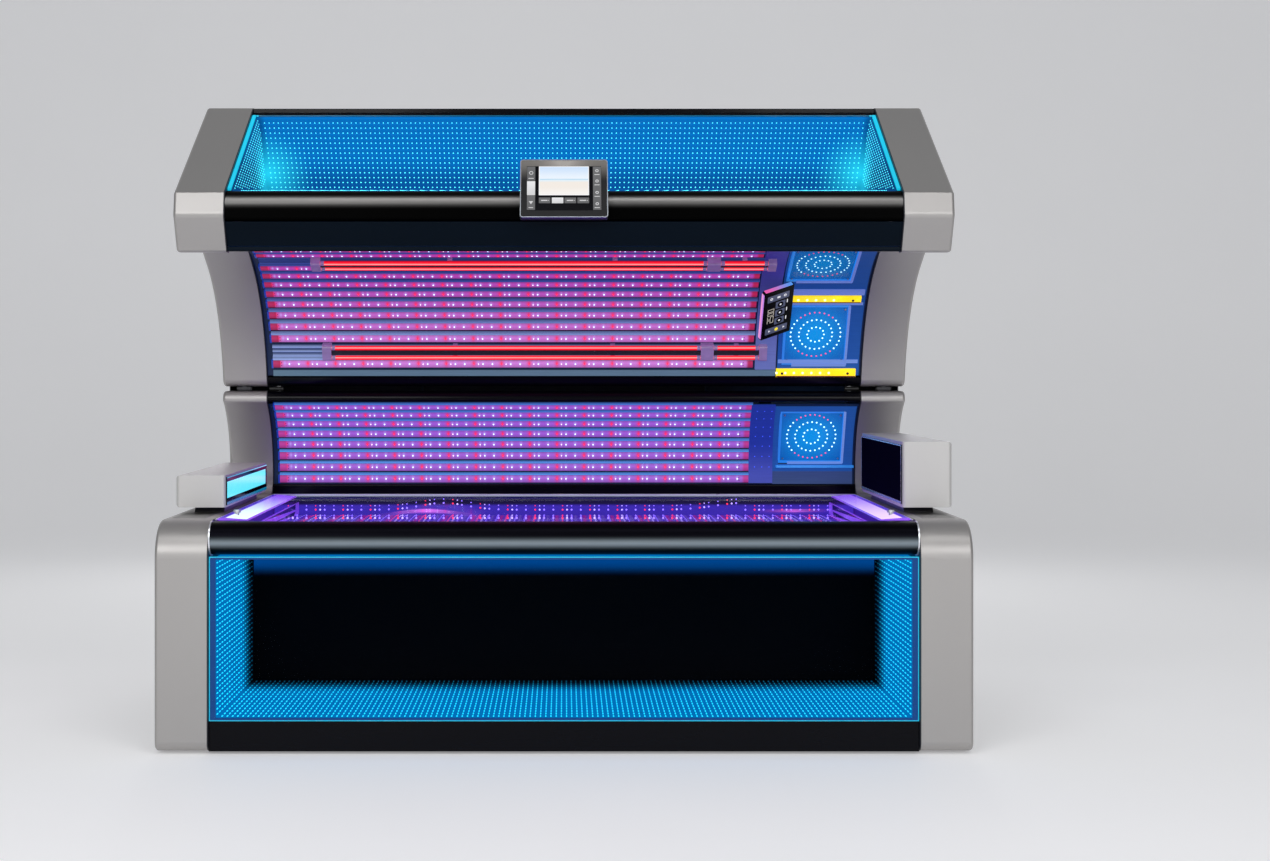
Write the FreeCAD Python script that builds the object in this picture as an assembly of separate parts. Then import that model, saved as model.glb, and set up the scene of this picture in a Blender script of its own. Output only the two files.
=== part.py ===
"""Clamshell tanning bed: a lit base with an acrylic bench and a hinged canopy, standing open."""

import FreeCAD, Part
import math
import os

from FreeCAD import Vector

# ---------------------------------------------------------------- driving dimensions, mm and degrees
WIDTH = 2400.0                # over the two cheeks
DEPTH = 1480.0                # front of the base to its rear face
CHEEK = 157.0                 # width of a cheek, seen from the front
SHEET = 4.0                   # wall of the moulded covers
LINER = 3.0                   # inner side sheet of a cheek
RIM = 10.0                    # rounding of a cheek's outer edge

HALF = WIDTH / 2
INNER = HALF - CHEEK          # inner face of a cheek
SPAN = INNER - 0.5            # half length of what lies between the cheeks

HINGE_DEPTH, HINGE_HEIGHT = 1149.0, 1060.0
SEAM_LOW, SEAM_HIGH = HINGE_HEIGHT - 8, HINGE_HEIGHT + 8
OPENING_ANGLE = 45.0          # canopy travel from open to closed
REAR_CORNER = 1430.0          # depth where base and canopy meet at the rear
BENCH_HEIGHT = 682.0          # top of the base cheeks
ROOF_HEIGHT = 2007.0

PLINTH_TOP, WINDOW_TOP = 97.0, 579.0      # front window of the base
TUNNEL_DEPTH = 706.0                      # back wall of the light tunnel in the base
TUNNEL_HALF = 1024.0

# The lit faces of the lamp bars lie on two arcs: centre depth, centre height, radius.
CANOPY_ARC = (552.0, 961.0, 571.0)
BASE_ARC = (951.0, 757.0, 298.0)
CANOPY_PITCH, BASE_PITCH = 48.0, 42.0
BAR_WIDTH, BAR_THICK = 26.0, 12.0
BAR_LEFT, BAR_RIGHT = -1036.0, 662.0      # the bars end at the face-lamp partition
PARTITION_RIGHT = 748.0
CANOPY_ROWS, CANOPY_FIRST = 19, 19.0      # number of rows, and the angle of the lowest
TUBE_ROWS = (1, 10)                       # canopy rows that hold tube lamps
BASE_ROWS, BASE_FIRST = 7, 3.8
TUBE_R, TUBE_APART, TUBE_PROUD = 8.0, 38.0, 14.0

FRAME_X = 1129.0              # middle of each side frame
PLATE = 8.0                   # its two plates
PLATE_GAP = 28.0              # and the room between them
HINGE_R, HUB_R, FIT = 10.0, 16.0, 0.05
LEVER, LEVER_REST = 160.0, -OPENING_ANGLE / 2
LEVER_PIN_R, ROD_R, ROD_DEPTH = 7.0, 7.0, 1303.0
DRUM_R, SKIRT_R = 250.0, 268.0
CROSS_TUBES = (               # depth from, to, height from, to: base tubes that pass through the liners
    (90, 150, 51, 101), (760, 800, 40, 90), (1350, 1410, 40, 90), (730, 780, 542, 592),
    (1266, 1300, 560, 600),
)
CANOPY_TUBES = (
    (345, 385, 1605, 1645), (870, 910, 1925, 1965), (1350, 1390, 1150, 1190), (1045, 1085, 1690, 1730),
)

FOOT_R, FOOT_DEPTHS = 32.0, (150, 1330)
FAN_R, FAN_X, FAN_HEIGHT, BLADES = 110.0, 420.0, 420.0, 7
POST_PLACES = (-700, -350, 0, 350, 716)

BENCH_FRONT, BENCH_REAR, BENCH_HALF = 74.0, 1224.0, 1030.0
BENCH_LOW, DISH, MOUND, MOUND_X, MOUND_WIDTH = 655.0, 20.0, 34.0, -430.0, 170.0

FASCIA_LOW, FASCIA_HIGH = (300.0, 1680.0), (804.0, 1989.0)    # ends of the sloping glass
LIP_ROLL = 46.0               # rounding of the lip's upper edge

DISPLAY_LEAN = 26.0
DISPLAY_FOOT = (205.0, 1590.0)
DISPLAY_HINGE = (254.0, 1622.0)

TABLET_X, TABLET_DEPTH, TABLET_HEIGHT = 717.0, 925.0, 1325.0
TABLET_LEAN, TABLET_TURN = 42.0, 27.0
TABLET_PIVOT = 20.0           # pivot behind the tablet's middle

NODES = {}


# ---------------------------------------------------------------- helpers
def at(x, depth, height):
    """Point in the part's frame: depth counts back from the front, height up from the floor."""
    return Vector(x, depth - DEPTH / 2, height)


def block(x0, x1, d0, d1, z0, z1):
    """Box between two x values, two depths and two heights."""
    return Part.makeBox(abs(x1 - x0), d1 - d0, z1 - z0, at(min(x0, x1), d0, z0))


def tube_hollow(x0, x1, d0, d1, z0, z1, wall=3.0):
    """Inside of a box tube that runs along x, as a cutting tool."""
    return block(x0, x1, d0 + wall, d1 - wall, z0 + wall, z1 - wall)


def cylinder(x, depth, height, radius, length, axis=Vector(1, 0, 0)):
    """Cylinder centred on a point."""
    return Part.makeCylinder(radius, length, at(x, depth, height) - axis * (length / 2), axis)


def rounded(points, x=0.0):
    """Closed wire in a side plane through (depth, height, radius) corners, joined by tangent arcs."""
    corners = [at(x, p[0], p[1]) for p in points]
    stretches = []
    for i, corner in enumerate(corners):
        radius = points[i][2] if len(points[i]) > 2 else 0.0
        back = (corners[i - 1] - corner).normalize()
        ahead = (corners[(i + 1) % len(corners)] - corner).normalize()
        if radius <= 0:
            stretches.append((corner, None, corner))
            continue
        half = math.acos(back.dot(ahead)) / 2
        run = radius / math.tan(half)
        middle = corner + (back + ahead).normalize() * (radius / math.sin(half) - radius)
        stretches.append((corner + back * run, middle, corner + ahead * run))
    edges = []
    for i, (start, middle, stop) in enumerate(stretches):
        if middle is not None:
            edges.append(Part.Arc(start, middle, stop).toShape())
        following = stretches[(i + 1) % len(stretches)][0]
        if stop.distanceToPoint(following) > 1e-4:
            edges.append(Part.LineSegment(stop, following).toShape())
    return Part.Wire(edges)


def prism(wire, x0, x1):
    """Solid between two x values, with the wire as its side view."""
    face = Part.Face(wire)
    face.translate(Vector(x0 - face.BoundBox.XMin, 0, 0))
    return face.extrude(Vector(x1 - x0, 0, 0))


def inset(wire, distance):
    """The wire moved inwards, or outwards with a negative distance."""
    return wire.makeOffset2D(-distance)


def fuse(shapes):
    """One shape from several, with the seams taken out."""
    shapes = list(shapes)
    if len(shapes) == 1:
        return shapes[0]
    return shapes[0].multiFuse(shapes[1:]).removeSplitter()


def compound(shapes):
    """Separate pieces that make up one node or one cutting tool."""
    return Part.makeCompound(list(shapes))


def mirrored(shape):
    """The same piece on the left side."""
    return shape.mirror(Vector(0, 0, 0), Vector(1, 0, 0))


def both_sides(shapes):
    """Every piece with its mirror image."""
    return [s for shape in shapes for s in (shape, mirrored(shape))]


def on_arc(arc, angle, offset=0.0):
    """Depth and height of a point on an arc, at an angle above its centre; offset is outwards."""
    reach = arc[2] + offset
    return arc[0] + reach * math.cos(math.radians(angle)), arc[1] + reach * math.sin(math.radians(angle))


def arc_corner(arc, start, stop, offset=0.0):
    """Corner (depth, height, radius) whose rounding is the stretch of an arc between two angles."""
    half = math.radians(stop - start) / 2
    reach = (arc[2] + offset) / math.cos(half)
    middle = math.radians(start + stop) / 2
    return arc[0] + reach * math.cos(middle), arc[1] + reach * math.sin(middle), arc[2] + offset - 0.01


def arc_sheet(arc, start, stop, inside, outside, x0, x1):
    """Curved sheet between two offsets from an arc and between two angles."""
    angles = (start, (start + stop) / 2, stop)
    inner = [at(x0, *on_arc(arc, a, inside)) for a in angles]
    outer = [at(x0, *on_arc(arc, a, outside)) for a in reversed(angles)]
    edges = [Part.Arc(*inner).toShape(), Part.LineSegment(inner[2], outer[0]).toShape(),
             Part.Arc(*outer).toShape(), Part.LineSegment(outer[2], inner[0]).toShape()]
    return Part.Face(Part.Wire(edges)).extrude(Vector(x1 - x0, 0, 0))


def placed(shape, depth, height, angle=0.0, x=0.0):
    """Move a piece built about the origin, its back along +y, to a place on a wall that leans by an angle."""
    moved = shape.copy()
    moved.rotate(Vector(0, 0, 0), Vector(1, 0, 0), angle)
    moved.translate(at(x, depth, height))
    return moved


def on_wall(shape, arc, angle, offset=0.0):
    """Move a piece built about the origin on to an arc wall."""
    return placed(shape, *on_arc(arc, angle, offset), angle)


def soft_box(x0, x1, y0, y1, z0, z1, radius):
    """Box about the origin with all edges rounded."""
    box = Part.makeBox(x1 - x0, y1 - y0, z1 - z0, Vector(x0, y0, z0))
    return box.makeFillet(radius, box.Edges)


def add(name, shapes):
    """Record a node: one solid, or a list of separate solids."""
    NODES[name] = compound(shapes) if isinstance(shapes, list) else shapes


def add_pair(name, shape):
    """Record a right-hand piece and its mirror image as two nodes."""
    NODES[name + "_right"] = shape
    NODES[name + "_left"] = mirrored(shape)


# ---------------------------------------------------------------- side views
def base_outline():
    """Base cheek: a block with a big front corner, and a back pillar that curls forward to a nose."""
    return [
        (0, 8, 30), (0, BENCH_HEIGHT, 107), (BASE_ARC[0] + BASE_ARC[2] + 2, BENCH_HEIGHT, 50),
        arc_corner(BASE_ARC, 0, 55, 2), (1106, 1014, 12), (1106, SEAM_LOW, 26), (DEPTH, SEAM_LOW, 50),
        (DEPTH, 8, 20),
    ]


def canopy_outline():
    """Canopy cheek: a curved arm, a wide arch behind a thin lip, and a sloping brow."""
    return [
        (REAR_CORNER, SEAM_HIGH, 10), (1114, SEAM_HIGH, 32), arc_corner(CANOPY_ARC, 14, 62, 2),
        (640, 1562, 160), (452, 1598, 100), (350, 1492, 12), (318, 1492, 12), (262, 1602, 30), (274, 1673, 6),
        (335, 1711, 40), (817, ROOF_HEIGHT, 25), (1150, ROOF_HEIGHT, 170), (1452, 1530, 330),
    ]


def bumper_outline():
    """Bull-nosed front rail."""
    return [(4, 582, 46), (4, 679, 46), (70, 679, 3), (70, 582, 3)]


def shell(points, x_inner):
    """Hollow cheek cover, open towards the middle of the bed, with its outer edge rounded."""
    wire = rounded(points)
    body = prism(wire, x_inner, HALF)
    rim = [edge for edge in body.Edges if edge.BoundBox.XMin > HALF - 0.01]
    return body.makeFillet(RIM, rim).cut(prism(inset(wire, SHEET), x_inner - 1, HALF - SHEET))


# ---------------------------------------------------------------- base structure
def side_plate():
    """Cut plate of a base side frame, from the bottom rail up to the hinge eye."""
    outline = [
        (60, 100, 4), (1440, 100, 4), (1440, 560, 60), (1318, 640, 40), (1318, 858, 10), (1290, 930, 40),
        (1165, 1060), (1133, 1060), (1225, 930, 40), (1264, 850, 40), (1264, 520, 60), (1180, 440, 60),
        (830, 440, 30), (790, 592, 4), (720, 592, 4), (680, 440, 30), (60, 440, 60),
    ]
    hub = cylinder(PLATE / 2, HINGE_DEPTH, HINGE_HEIGHT, HUB_R, PLATE)
    plate = fuse([prism(rounded(outline), 0, PLATE), hub])
    holes = [
        prism(rounded([(d, 170, 40), (d + 230, 170, 40), (d + 230, 370, 40), (d, 370, 40)]), -1, PLATE + 1)
        for d in (140, 430, 720, 1010)
    ]
    return plate.cut(compound(holes + [cylinder(0, HINGE_DEPTH, HINGE_HEIGHT, HINGE_R + FIT, 60)]))


def base_frame():
    """Two plates a side on a bottom rail, joined by spacers and by cross tubes."""
    pieces = []
    for x in (FRAME_X - PLATE_GAP / 2 - PLATE, FRAME_X + PLATE_GAP / 2):
        plate = side_plate()
        plate.translate(Vector(x, 0, 0))
        pieces.append(plate)
    pieces.append(block(FRAME_X - 30, FRAME_X + 30, 50, 1440, 40, 100))
    pieces += [cylinder(FRAME_X, d, z, 12, PLATE_GAP) for d, z in ((90, 405), (1290, 470), (1400, 470))]
    reach = FRAME_X - PLATE_GAP / 2
    tubes = [block(-reach, reach, *tube) for tube in CROSS_TUBES]
    hollows = [tube_hollow(-reach - 1, reach + 1, *tube) for tube in CROSS_TUBES]
    hollows += both_sides([block(FRAME_X - 27, FRAME_X + 27, 49, 1441, 43, 97)])
    return fuse(both_sides([fuse(pieces)]) + tubes).cut(compound(hollows))


def wall_posts():
    """Upright channels that carry the reflector wall, standing on the rear cross tube."""
    posts = []
    for x in POST_PLACES:
        outline = [(1265, 600), arc_corner(BASE_ARC, 0, 48, BAR_THICK + 3.3), (1150, 1040), (1180, 1040),
                   (1300, 905, 60), (1300, 600)]
        channel = block(x - 16, x + 16, 1272, 1310, 604, 880)
        posts.append(prism(rounded(outline), x - 20, x + 20).cut(channel))
    return posts


def feet():
    """Levelling feet with a lock nut, under the frame."""
    pieces = []
    places = [(side * FRAME_X, depth) for side in (-1, 1) for depth in FOOT_DEPTHS] + [(0, 120), (0, 1380)]
    for x, depth in places:
        pad = Part.makeCylinder(FOOT_R, 10, at(x, depth, 0))
        stem = Part.makeCylinder(8, 30, at(x, depth, 10))
        nut = Part.makePolygon([at(x, depth, 30) + Vector(13 * math.cos(a), 13 * math.sin(a), 0)
                                for a in [math.radians(60 * k) for k in range(7)]])
        pieces.append(fuse([pad, stem, Part.Face(nut).extrude(Vector(0, 0, 10))]))
    return pieces


def base_cheek():
    """Right outer cover of the base, slotted on top for the drum, the lever and the hinge."""
    drum_slot = block(INNER + 6, HALF - SHEET, 1180, 1412, SEAM_LOW - 8, SEAM_LOW + 4)
    hinge_slot = block(FRAME_X - 30, FRAME_X + 30, 1128, 1200, 1036, SEAM_LOW + 4)
    foot_holes = [cylinder(FRAME_X, depth, 10, FOOT_R + 3, 12, Vector(0, 0, 1)) for depth in FOOT_DEPTHS]
    cover = shell(base_outline(), INNER + LINER)
    return cover.cut(compound([drum_slot] + foot_holes)).cut(hinge_slot)


def base_liner():
    """Right inner side sheet of the base, open where tubes pass, with vent slots behind the tunnel."""
    tubes = [block(INNER - 1, INNER + 5, *tube) for tube in CROSS_TUBES]
    vents = [block(INNER - 1, INNER + 5, 800 + 40 * i, 815 + 40 * i, 200, 480) for i in range(9)]
    return prism(rounded(base_outline()), INNER, INNER + LINER).cut(compound(tubes + vents))


def add_base_structure():
    """Frame, feet, cheeks and posts."""
    add("base_frame", [base_frame()] + wall_posts())
    add("levelling_feet", feet())
    add_pair("base_cheek_cover", base_cheek())
    add("base_cheek_liners", both_sides([base_liner()]))


# ---------------------------------------------------------------- front of the base
def add_front():
    """Front rail, plinth, window glass, light guides, the tunnel behind them and the bright trim."""
    bumper = rounded(bumper_outline())
    add("front_bumper", prism(bumper, -SPAN, SPAN).cut(prism(inset(bumper, SHEET), -SPAN - 1, SPAN + 1)))

    plinth = [block(-SPAN, SPAN, 14, 20, 8, PLINTH_TOP - 1), block(-SPAN, SPAN, 20, 88, 8, 12),
              block(-SPAN, SPAN, 20, 88, PLINTH_TOP - 5, PLINTH_TOP - 1)]
    add("plinth_panel", fuse(plinth))

    edge = SPAN - 1
    add("front_glass", block(-edge, edge, 8, 13, PLINTH_TOP, WINDOW_TOP))
    guide = block(-edge, edge, 13, 22, PLINTH_TOP, WINDOW_TOP)
    add("front_light_guides", guide.cut(block(-1034, 1034, 12, 23, PLINTH_TOP + 6, WINDOW_TOP - 6)))
    flange = block(-edge, edge, 22, 25, PLINTH_TOP, WINDOW_TOP)
    tunnel = fuse([flange, block(-1028, 1028, 22, TUNNEL_DEPTH + 3, PLINTH_TOP + 4, WINDOW_TOP - 4)])
    hollow = block(-TUNNEL_HALF, TUNNEL_HALF, 21, TUNNEL_DEPTH, PLINTH_TOP + 8, WINDOW_TOP - 8)
    add("front_light_box", tunnel.cut(hollow))

    bead = prism(inset(bumper, -2.5), SPAN - 4, SPAN).cut(prism(bumper, SPAN - 5, SPAN + 1))
    bead = bead.cut(block(SPAN - 6, SPAN + 1, 60, 90, 560, 700))
    side = block(SPAN - 6, SPAN, 110, 1226, BENCH_HEIGHT - 4, BENCH_HEIGHT)
    rear = block(-SPAN, SPAN, 1226, 1232, BENCH_HEIGHT - 4, BENCH_HEIGHT)
    upward = Vector(0, 0, 1)
    knob = fuse([cylinder(984, 160, 693, 6, 16, upward), cylinder(984, 160, 702, 11, 8, upward)])
    knob = knob.cut(bench_end())
    add("bench_trim", both_sides([bead, knob]) + [fuse(both_sides([side]) + [rear])])


# ---------------------------------------------------------------- bench
def bench_height(x, across):
    """Height of the acrylic: dished across the bed, with one cross mound and raised ends."""
    side = (2 * across - 1) ** 2
    mound = MOUND * math.exp(-((x - MOUND_X) / MOUND_WIDTH) ** 2)
    return BENCH_LOW + DISH * side + (1 - side) * (mound + 8 * (x / BENCH_HALF) ** 6)


def bench_acrylic():
    """Dished lying surface, 5 mm thick."""
    grid = []
    for i in range(19):
        x = BENCH_HALF * (i / 9 - 1)
        steps = [j / 6 for j in range(7)]
        grid.append([at(x, BENCH_FRONT + (BENCH_REAR - BENCH_FRONT) * t, bench_height(x, t)) for t in steps])
    surface = Part.BSplineSurface()
    surface.interpolate(grid)
    return surface.toShape().extrude(Vector(0, 0, -5))


def bench_end():
    """Right end moulding: a sloped lamp panel with two three-cornered windows."""
    low, high = BENCH_HEIGHT - 2, BENCH_HEIGHT + 22
    corners = [at(952, 130, low), at(SPAN - 6, 130, low), at(SPAN - 6, 130, high), at(1016, 130, high)]
    body = Part.Face(Part.makePolygon(corners + corners[:1])).extrude(Vector(0, 1030, 0))
    for d0, d1, d2 in ((190, 560, 560), (660, 660, 1100)):
        points = [at(978, d0, 720), at(1014, d1, 720), at(978, d2, 720)]
        body = body.cut(Part.Face(Part.makePolygon(points + points[:1])).extrude(Vector(0, 0, -28)))
    return body


def add_bench():
    """Tray with lamp bars, the acrylic and the end mouldings."""
    tray = block(-SPAN, SPAN, 72, 1231, 592, 646).cut(block(-SPAN + 3, SPAN - 3, 76, 1227, 596, 660))
    vents = [block(-980 + 70 * i, -940 + 70 * i, 900, 1180, 590, 600) for i in range(29)]
    rests = [block(-1028, 1028, depth, depth + 6, 594, 669.3) for depth in (76, 1216)]
    add("bench_tray", fuse([tray.cut(compound(vents))] + rests))
    bars = [block(-SPAN + 8, SPAN - 8, depth, depth + 24, 596, 610) for depth in range(130, 1186, 48)]
    add("bench_led_bars", bars)
    add("bench_acrylic", bench_acrylic())
    add("bench_ends", both_sides([bench_end()]))


# ---------------------------------------------------------------- reflector walls and lamps
def bar(x0, x1):
    """Lamp bar about the origin: lit face forward, chamfered back."""
    half, back = BAR_WIDTH / 2, BAR_THICK - 0.3
    section = [(0, -half), (back - 4, -half), (back, 4 - half), (back, half - 4), (back - 4, half), (0, half)]
    corners = [Vector(x0, d, z) for d, z in section]
    return Part.Face(Part.makePolygon(corners + corners[:1])).extrude(Vector(x1 - x0, 0, 0))


def face_lamp(half_x, half_z, x):
    """Face lamp about the origin: a shallow tray with a raised rim."""
    rim = Part.makeBox(2 * half_x, 14, 2 * half_z, Vector(x - half_x, -2, -half_z))
    return rim.cut(Part.makeBox(2 * half_x - 14, 9, 2 * half_z - 14, Vector(x - half_x + 7, -3, 7 - half_z)))


def lamp_opening(half_x, half_z, x):
    """Cutting tool for the hole in a reflector that takes a face lamp."""
    return Part.makeBox(2 * half_x, 60, 2 * half_z, Vector(x - half_x, -30, -half_z))


def add_base_wall():
    """Reflector, lamp bars, partition, rails and face lamp behind the bench."""
    front = BASE_ARC[0] + BASE_ARC[2]
    back = BAR_THICK + 3
    curved = arc_sheet(BASE_ARC, 0, 53, BAR_THICK, back, -SPAN, SPAN)
    straight = block(-SPAN, SPAN, front + BAR_THICK, front + back, 600, BASE_ARC[1])
    lamp = on_wall(face_lamp(116, 104, 884), BASE_ARC, 26.0, -3)
    opening = on_wall(lamp_opening(116, 104, 884), BASE_ARC, 26.0, -3)
    add("base_reflector", fuse([curved, straight]).cut(opening))

    step = math.degrees(BASE_PITCH / BASE_ARC[2])
    one = bar(BAR_LEFT, BAR_RIGHT)
    bars = [on_wall(one, BASE_ARC, BASE_FIRST + step * row) for row in range(BASE_ROWS)]
    add("base_led_bars", bars + [placed(one, front, 735)])
    strip = arc_sheet(BASE_ARC, 0, 53, 0, BAR_THICK - 0.2, BAR_RIGHT + 1, PARTITION_RIGHT)
    foot = block(BAR_RIGHT + 1, PARTITION_RIGHT, front, front + BAR_THICK - 0.2, 720, BASE_ARC[1])
    add("base_partition", fuse([strip, foot]))
    add("base_face_lamp", [lamp, block(760, SPAN - 6, 1226, 1259.5, 776, 784)])
    low = [(1232, 678, 4), (1232, 717, 6), (1260, 717), (1260, 678)]
    nose = [(1107, 1015, 10), (1107, SEAM_LOW - 0.5, 25), (1172, SEAM_LOW - 0.5, 2), (1172, 1041),
            (1141, 1041), (1141, 1012)]
    add("base_rails", [prism(rounded(low), -SPAN, SPAN), prism(rounded(nose), -SPAN, SPAN)])


def add_canopy_wall():
    """Reflector, lamp bars, tubes, partition, rails and face lamps inside the canopy."""
    places = ((876, 118, 30.3), (868, 112, 65.1))
    openings = [on_wall(lamp_opening(112, half, x), CANOPY_ARC, angle, -3) for x, half, angle in places]
    sheet = arc_sheet(CANOPY_ARC, 14.5, 109.5, BAR_THICK, BAR_THICK + 3, -SPAN, SPAN)
    add("canopy_reflector", sheet.cut(compound(openings)))
    step = math.degrees(CANOPY_PITCH / CANOPY_ARC[2])
    one = bar(BAR_LEFT, BAR_RIGHT)
    rows = [row for row in range(CANOPY_ROWS) if row not in TUBE_ROWS]
    add("canopy_led_bars", [on_wall(one, CANOPY_ARC, CANOPY_FIRST + step * row) for row in rows])

    tubes, holders = [], []
    for row in TUBE_ROWS:
        angle = CANOPY_FIRST + step * row
        for side in (-1, 1):
            lean = angle + side * math.degrees(TUBE_APART / 2 / CANOPY_ARC[2])
            for x0, x1 in ((-811, 477), (522, 680)):
                tube = Part.makeCylinder(TUBE_R, x1 - x0, Vector(x0, 0, 0), Vector(1, 0, 0))
                tubes.append(on_wall(tube, CANOPY_ARC, lean, -TUBE_PROUD))
        for x0, x1 in ((-843, -811.2), (477.2, 521.8), (680.2, 708)):
            base = Part.makeBox(x1 - x0, TUBE_PROUD + BAR_THICK + 10.2, 58, Vector(x0, -TUBE_PROUD - 11, -29))
            rim = [e for e in base.Edges if e.BoundBox.YMax < -TUBE_PROUD and e.BoundBox.XLength > 5]
            holders.append(on_wall(base.makeFillet(8, rim), CANOPY_ARC, angle))
        for x in (-380, 170, 602):
            front = TUBE_R - TUBE_PROUD - 0.1
            clip = Part.makeBox(16, BAR_THICK - 0.6 - front, 50, Vector(x - 8, front, -25))
            holders.append(on_wall(clip, CANOPY_ARC, angle))
    add("canopy_tube_lamps", tubes)
    add("canopy_tube_holders", holders)
    strip = arc_sheet(CANOPY_ARC, 17, 109, -2, BAR_THICK - 0.2, BAR_RIGHT + 8, PARTITION_RIGHT - 6)
    add("canopy_partition", strip.cut(compound(holders + [tablet_fittings()[0]])))
    lamps = [on_wall(face_lamp(112, half, x), CANOPY_ARC, angle, -3) for x, half, angle in places]
    add("canopy_face_lamps", lamps)
    strips = [
        on_wall(Part.makeBox(x1 - x0, 10, tall, Vector(x0, -6, -tall / 2)), CANOPY_ARC, angle, 6)
        for x0, x1, angle, tall in ((775, 1021, 45.2, 27), (745, 1024, 15.7, 29))
    ]
    add("canopy_yellow_lamps", strips)
    nose = [(1114, SEAM_HIGH + 0.5, 30), (1107, 1100), (1128, 1104), (1172, 1104), (1172, SEAM_HIGH + 0.5, 2)]
    rail = [(806, 1981), (812, 1990), (812, 2004), (842, 2004), (842, 1968), (820, 1968)]
    add("canopy_rails", [prism(rounded(nose), -SPAN, SPAN), prism(rounded(rail), -SPAN, SPAN)])


# ---------------------------------------------------------------- rear of the base
def fan_blade():
    """One twisted blade about the fan's axis, lofted from hub to tip."""
    sections = []
    for radius, half_width, lean in ((38, 22, 48), (72, 26, 36), (104, 30, 27)):
        turn = math.radians(lean)
        along = Vector(math.cos(turn), math.sin(turn), 0) * half_width
        thick = Vector(-math.sin(turn), math.cos(turn), 0) * 1.2
        middle = Vector(0, 0, radius)
        points = [middle + along * a + thick * b for a, b in ((-1, -1), (1, -1), (1, 1), (-1, 1))]
        sections.append(Part.makePolygon(points + points[:1]))
    return Part.makeLoft(sections, True)


def fan_rotor():
    """Impeller about its own axis, with a bored hub."""
    hub = Part.makeCylinder(42, 34, Vector(0, -17, 0), Vector(0, 1, 0))
    hub = hub.makeFillet(6, [hub.Edges[0], hub.Edges[2]])
    blades = []
    for k in range(BLADES):
        blade = fan_blade()
        blade.rotate(Vector(0, 0, 0), Vector(0, 1, 0), 360 * k / BLADES)
        blades.append(blade)
    return fuse([hub] + blades).cut(Part.makeCylinder(8 + FIT, 60, Vector(0, -30, 0), Vector(0, 1, 0)))


def fan_housing():
    """Square fan frame with a round throat, four stays and the motor stub shaft."""
    side = FAN_R + 16
    frame = Part.makeBox(2 * side, 62, 2 * side, Vector(-side, -38, -side))
    frame = frame.cut(Part.makeCylinder(FAN_R, 80, Vector(0, -50, 0), Vector(0, 1, 0)))
    stays = [Part.makeBox(8, 6, FAN_R + 4, Vector(-4, -38, 0)) for _ in range(4)]
    for k, stay in enumerate(stays):
        stay.rotate(Vector(0, 0, 0), Vector(0, 1, 0), 45 + 90 * k)
    motor = Part.makeCylinder(36, 18, Vector(0, -38, 0), Vector(0, 1, 0))
    shaft = Part.makeCylinder(8, 40, Vector(0, -22, 0), Vector(0, 1, 0))
    return fuse([frame, motor, shaft] + stays)


def fan_guard():
    """Wire guard: rings joined by spokes and a centre disc."""
    rings = [Part.makeCylinder(r + 1.5, 2.5, Vector(0, 0, 0), Vector(0, 1, 0)).cut(
        Part.makeCylinder(r - 1.5, 6, Vector(0, -1, 0), Vector(0, 1, 0))) for r in (48, 64, 80, 96, 112)]
    spokes = [Part.makeBox(2 * 113, 2.5, 3, Vector(-113, 0, -1.5)) for _ in range(3)]
    for k, spoke in enumerate(spokes):
        spoke.rotate(Vector(0, 0, 0), Vector(0, 1, 0), 60 * k + 30)
    disc = Part.makeCylinder(32, 2.5, Vector(0, 0, 0), Vector(0, 1, 0))
    return fuse([disc] + rings + spokes)


def add_base_rear():
    """Rear cover with louvres, the fans, the power box and the cable gland."""
    wire = rounded(base_outline())
    region = [(1422, 1060), (1500, 1060), (1500, 0), (1440, 0), (1440, 12), (1450, 12), (1470, 32),
              (1470, 990), (1422, 1030)]
    keep = prism(rounded(region), -HALF, HALF)
    cover = prism(wire, -SPAN, SPAN).cut(prism(inset(wire, 3), -SPAN - 1, SPAN + 1)).common(keep)
    rows = [700 + 36 * i for i in range(7)]
    louvres = [block(x, x + 300, 1470, 1490, row, row + 12) for x in (-920, -150, 620) for row in rows]
    holes = [cylinder(s * FAN_X, 1480, FAN_HEIGHT, FAN_R + 3.5, 30, Vector(0, 1, 0)) for s in (-1, 1)]
    gland_hole = cylinder(900, 1480, 180, 14.2, 30, Vector(0, 1, 0))
    add("base_rear_cover", cover.cut(compound(louvres + holes + [gland_hole])))

    add("fan_housings", [placed(fan_housing(), 1453, FAN_HEIGHT, 0, s * FAN_X) for s in (-1, 1)])
    add("fan_guards", [placed(fan_guard(), 1477.2, FAN_HEIGHT, 0, s * FAN_X) for s in (-1, 1)])
    add("fan_rotor_left", placed(fan_rotor(), 1452, FAN_HEIGHT, 0, -FAN_X))
    add("fan_rotor_right", placed(fan_rotor(), 1452, FAN_HEIGHT, 0, FAN_X))

    nut = cylinder(900, 1474.5, 180, 19, 5, Vector(0, 1, 0))
    sleeve = cylinder(900, 1474, 180, 14, 12, Vector(0, 1, 0))
    bore = cylinder(900, 1474, 180, 7, 40, Vector(0, 1, 0))
    add("power_gland", fuse([nut, sleeve]).cut(bore))
    drivers = [block(x, x + 190, 980, 1220, 240, 296) for x in (-960, -740, -520)]
    drivers += [block(x, x + 120, 764, 1390, 90, 140) for x in range(40, 800, 150)]
    add("power_units", [block(-980, -200, 764, 1390, 90, 240)] + drivers)


# ---------------------------------------------------------------- hinge and lift
def lever_pin(angle):
    """Depth and height of the lift lever's pin with the canopy turned by an angle from open."""
    turn = math.radians(LEVER_REST + angle)
    return HINGE_DEPTH + LEVER * math.cos(turn), HINGE_HEIGHT + LEVER * math.sin(turn)


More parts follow.
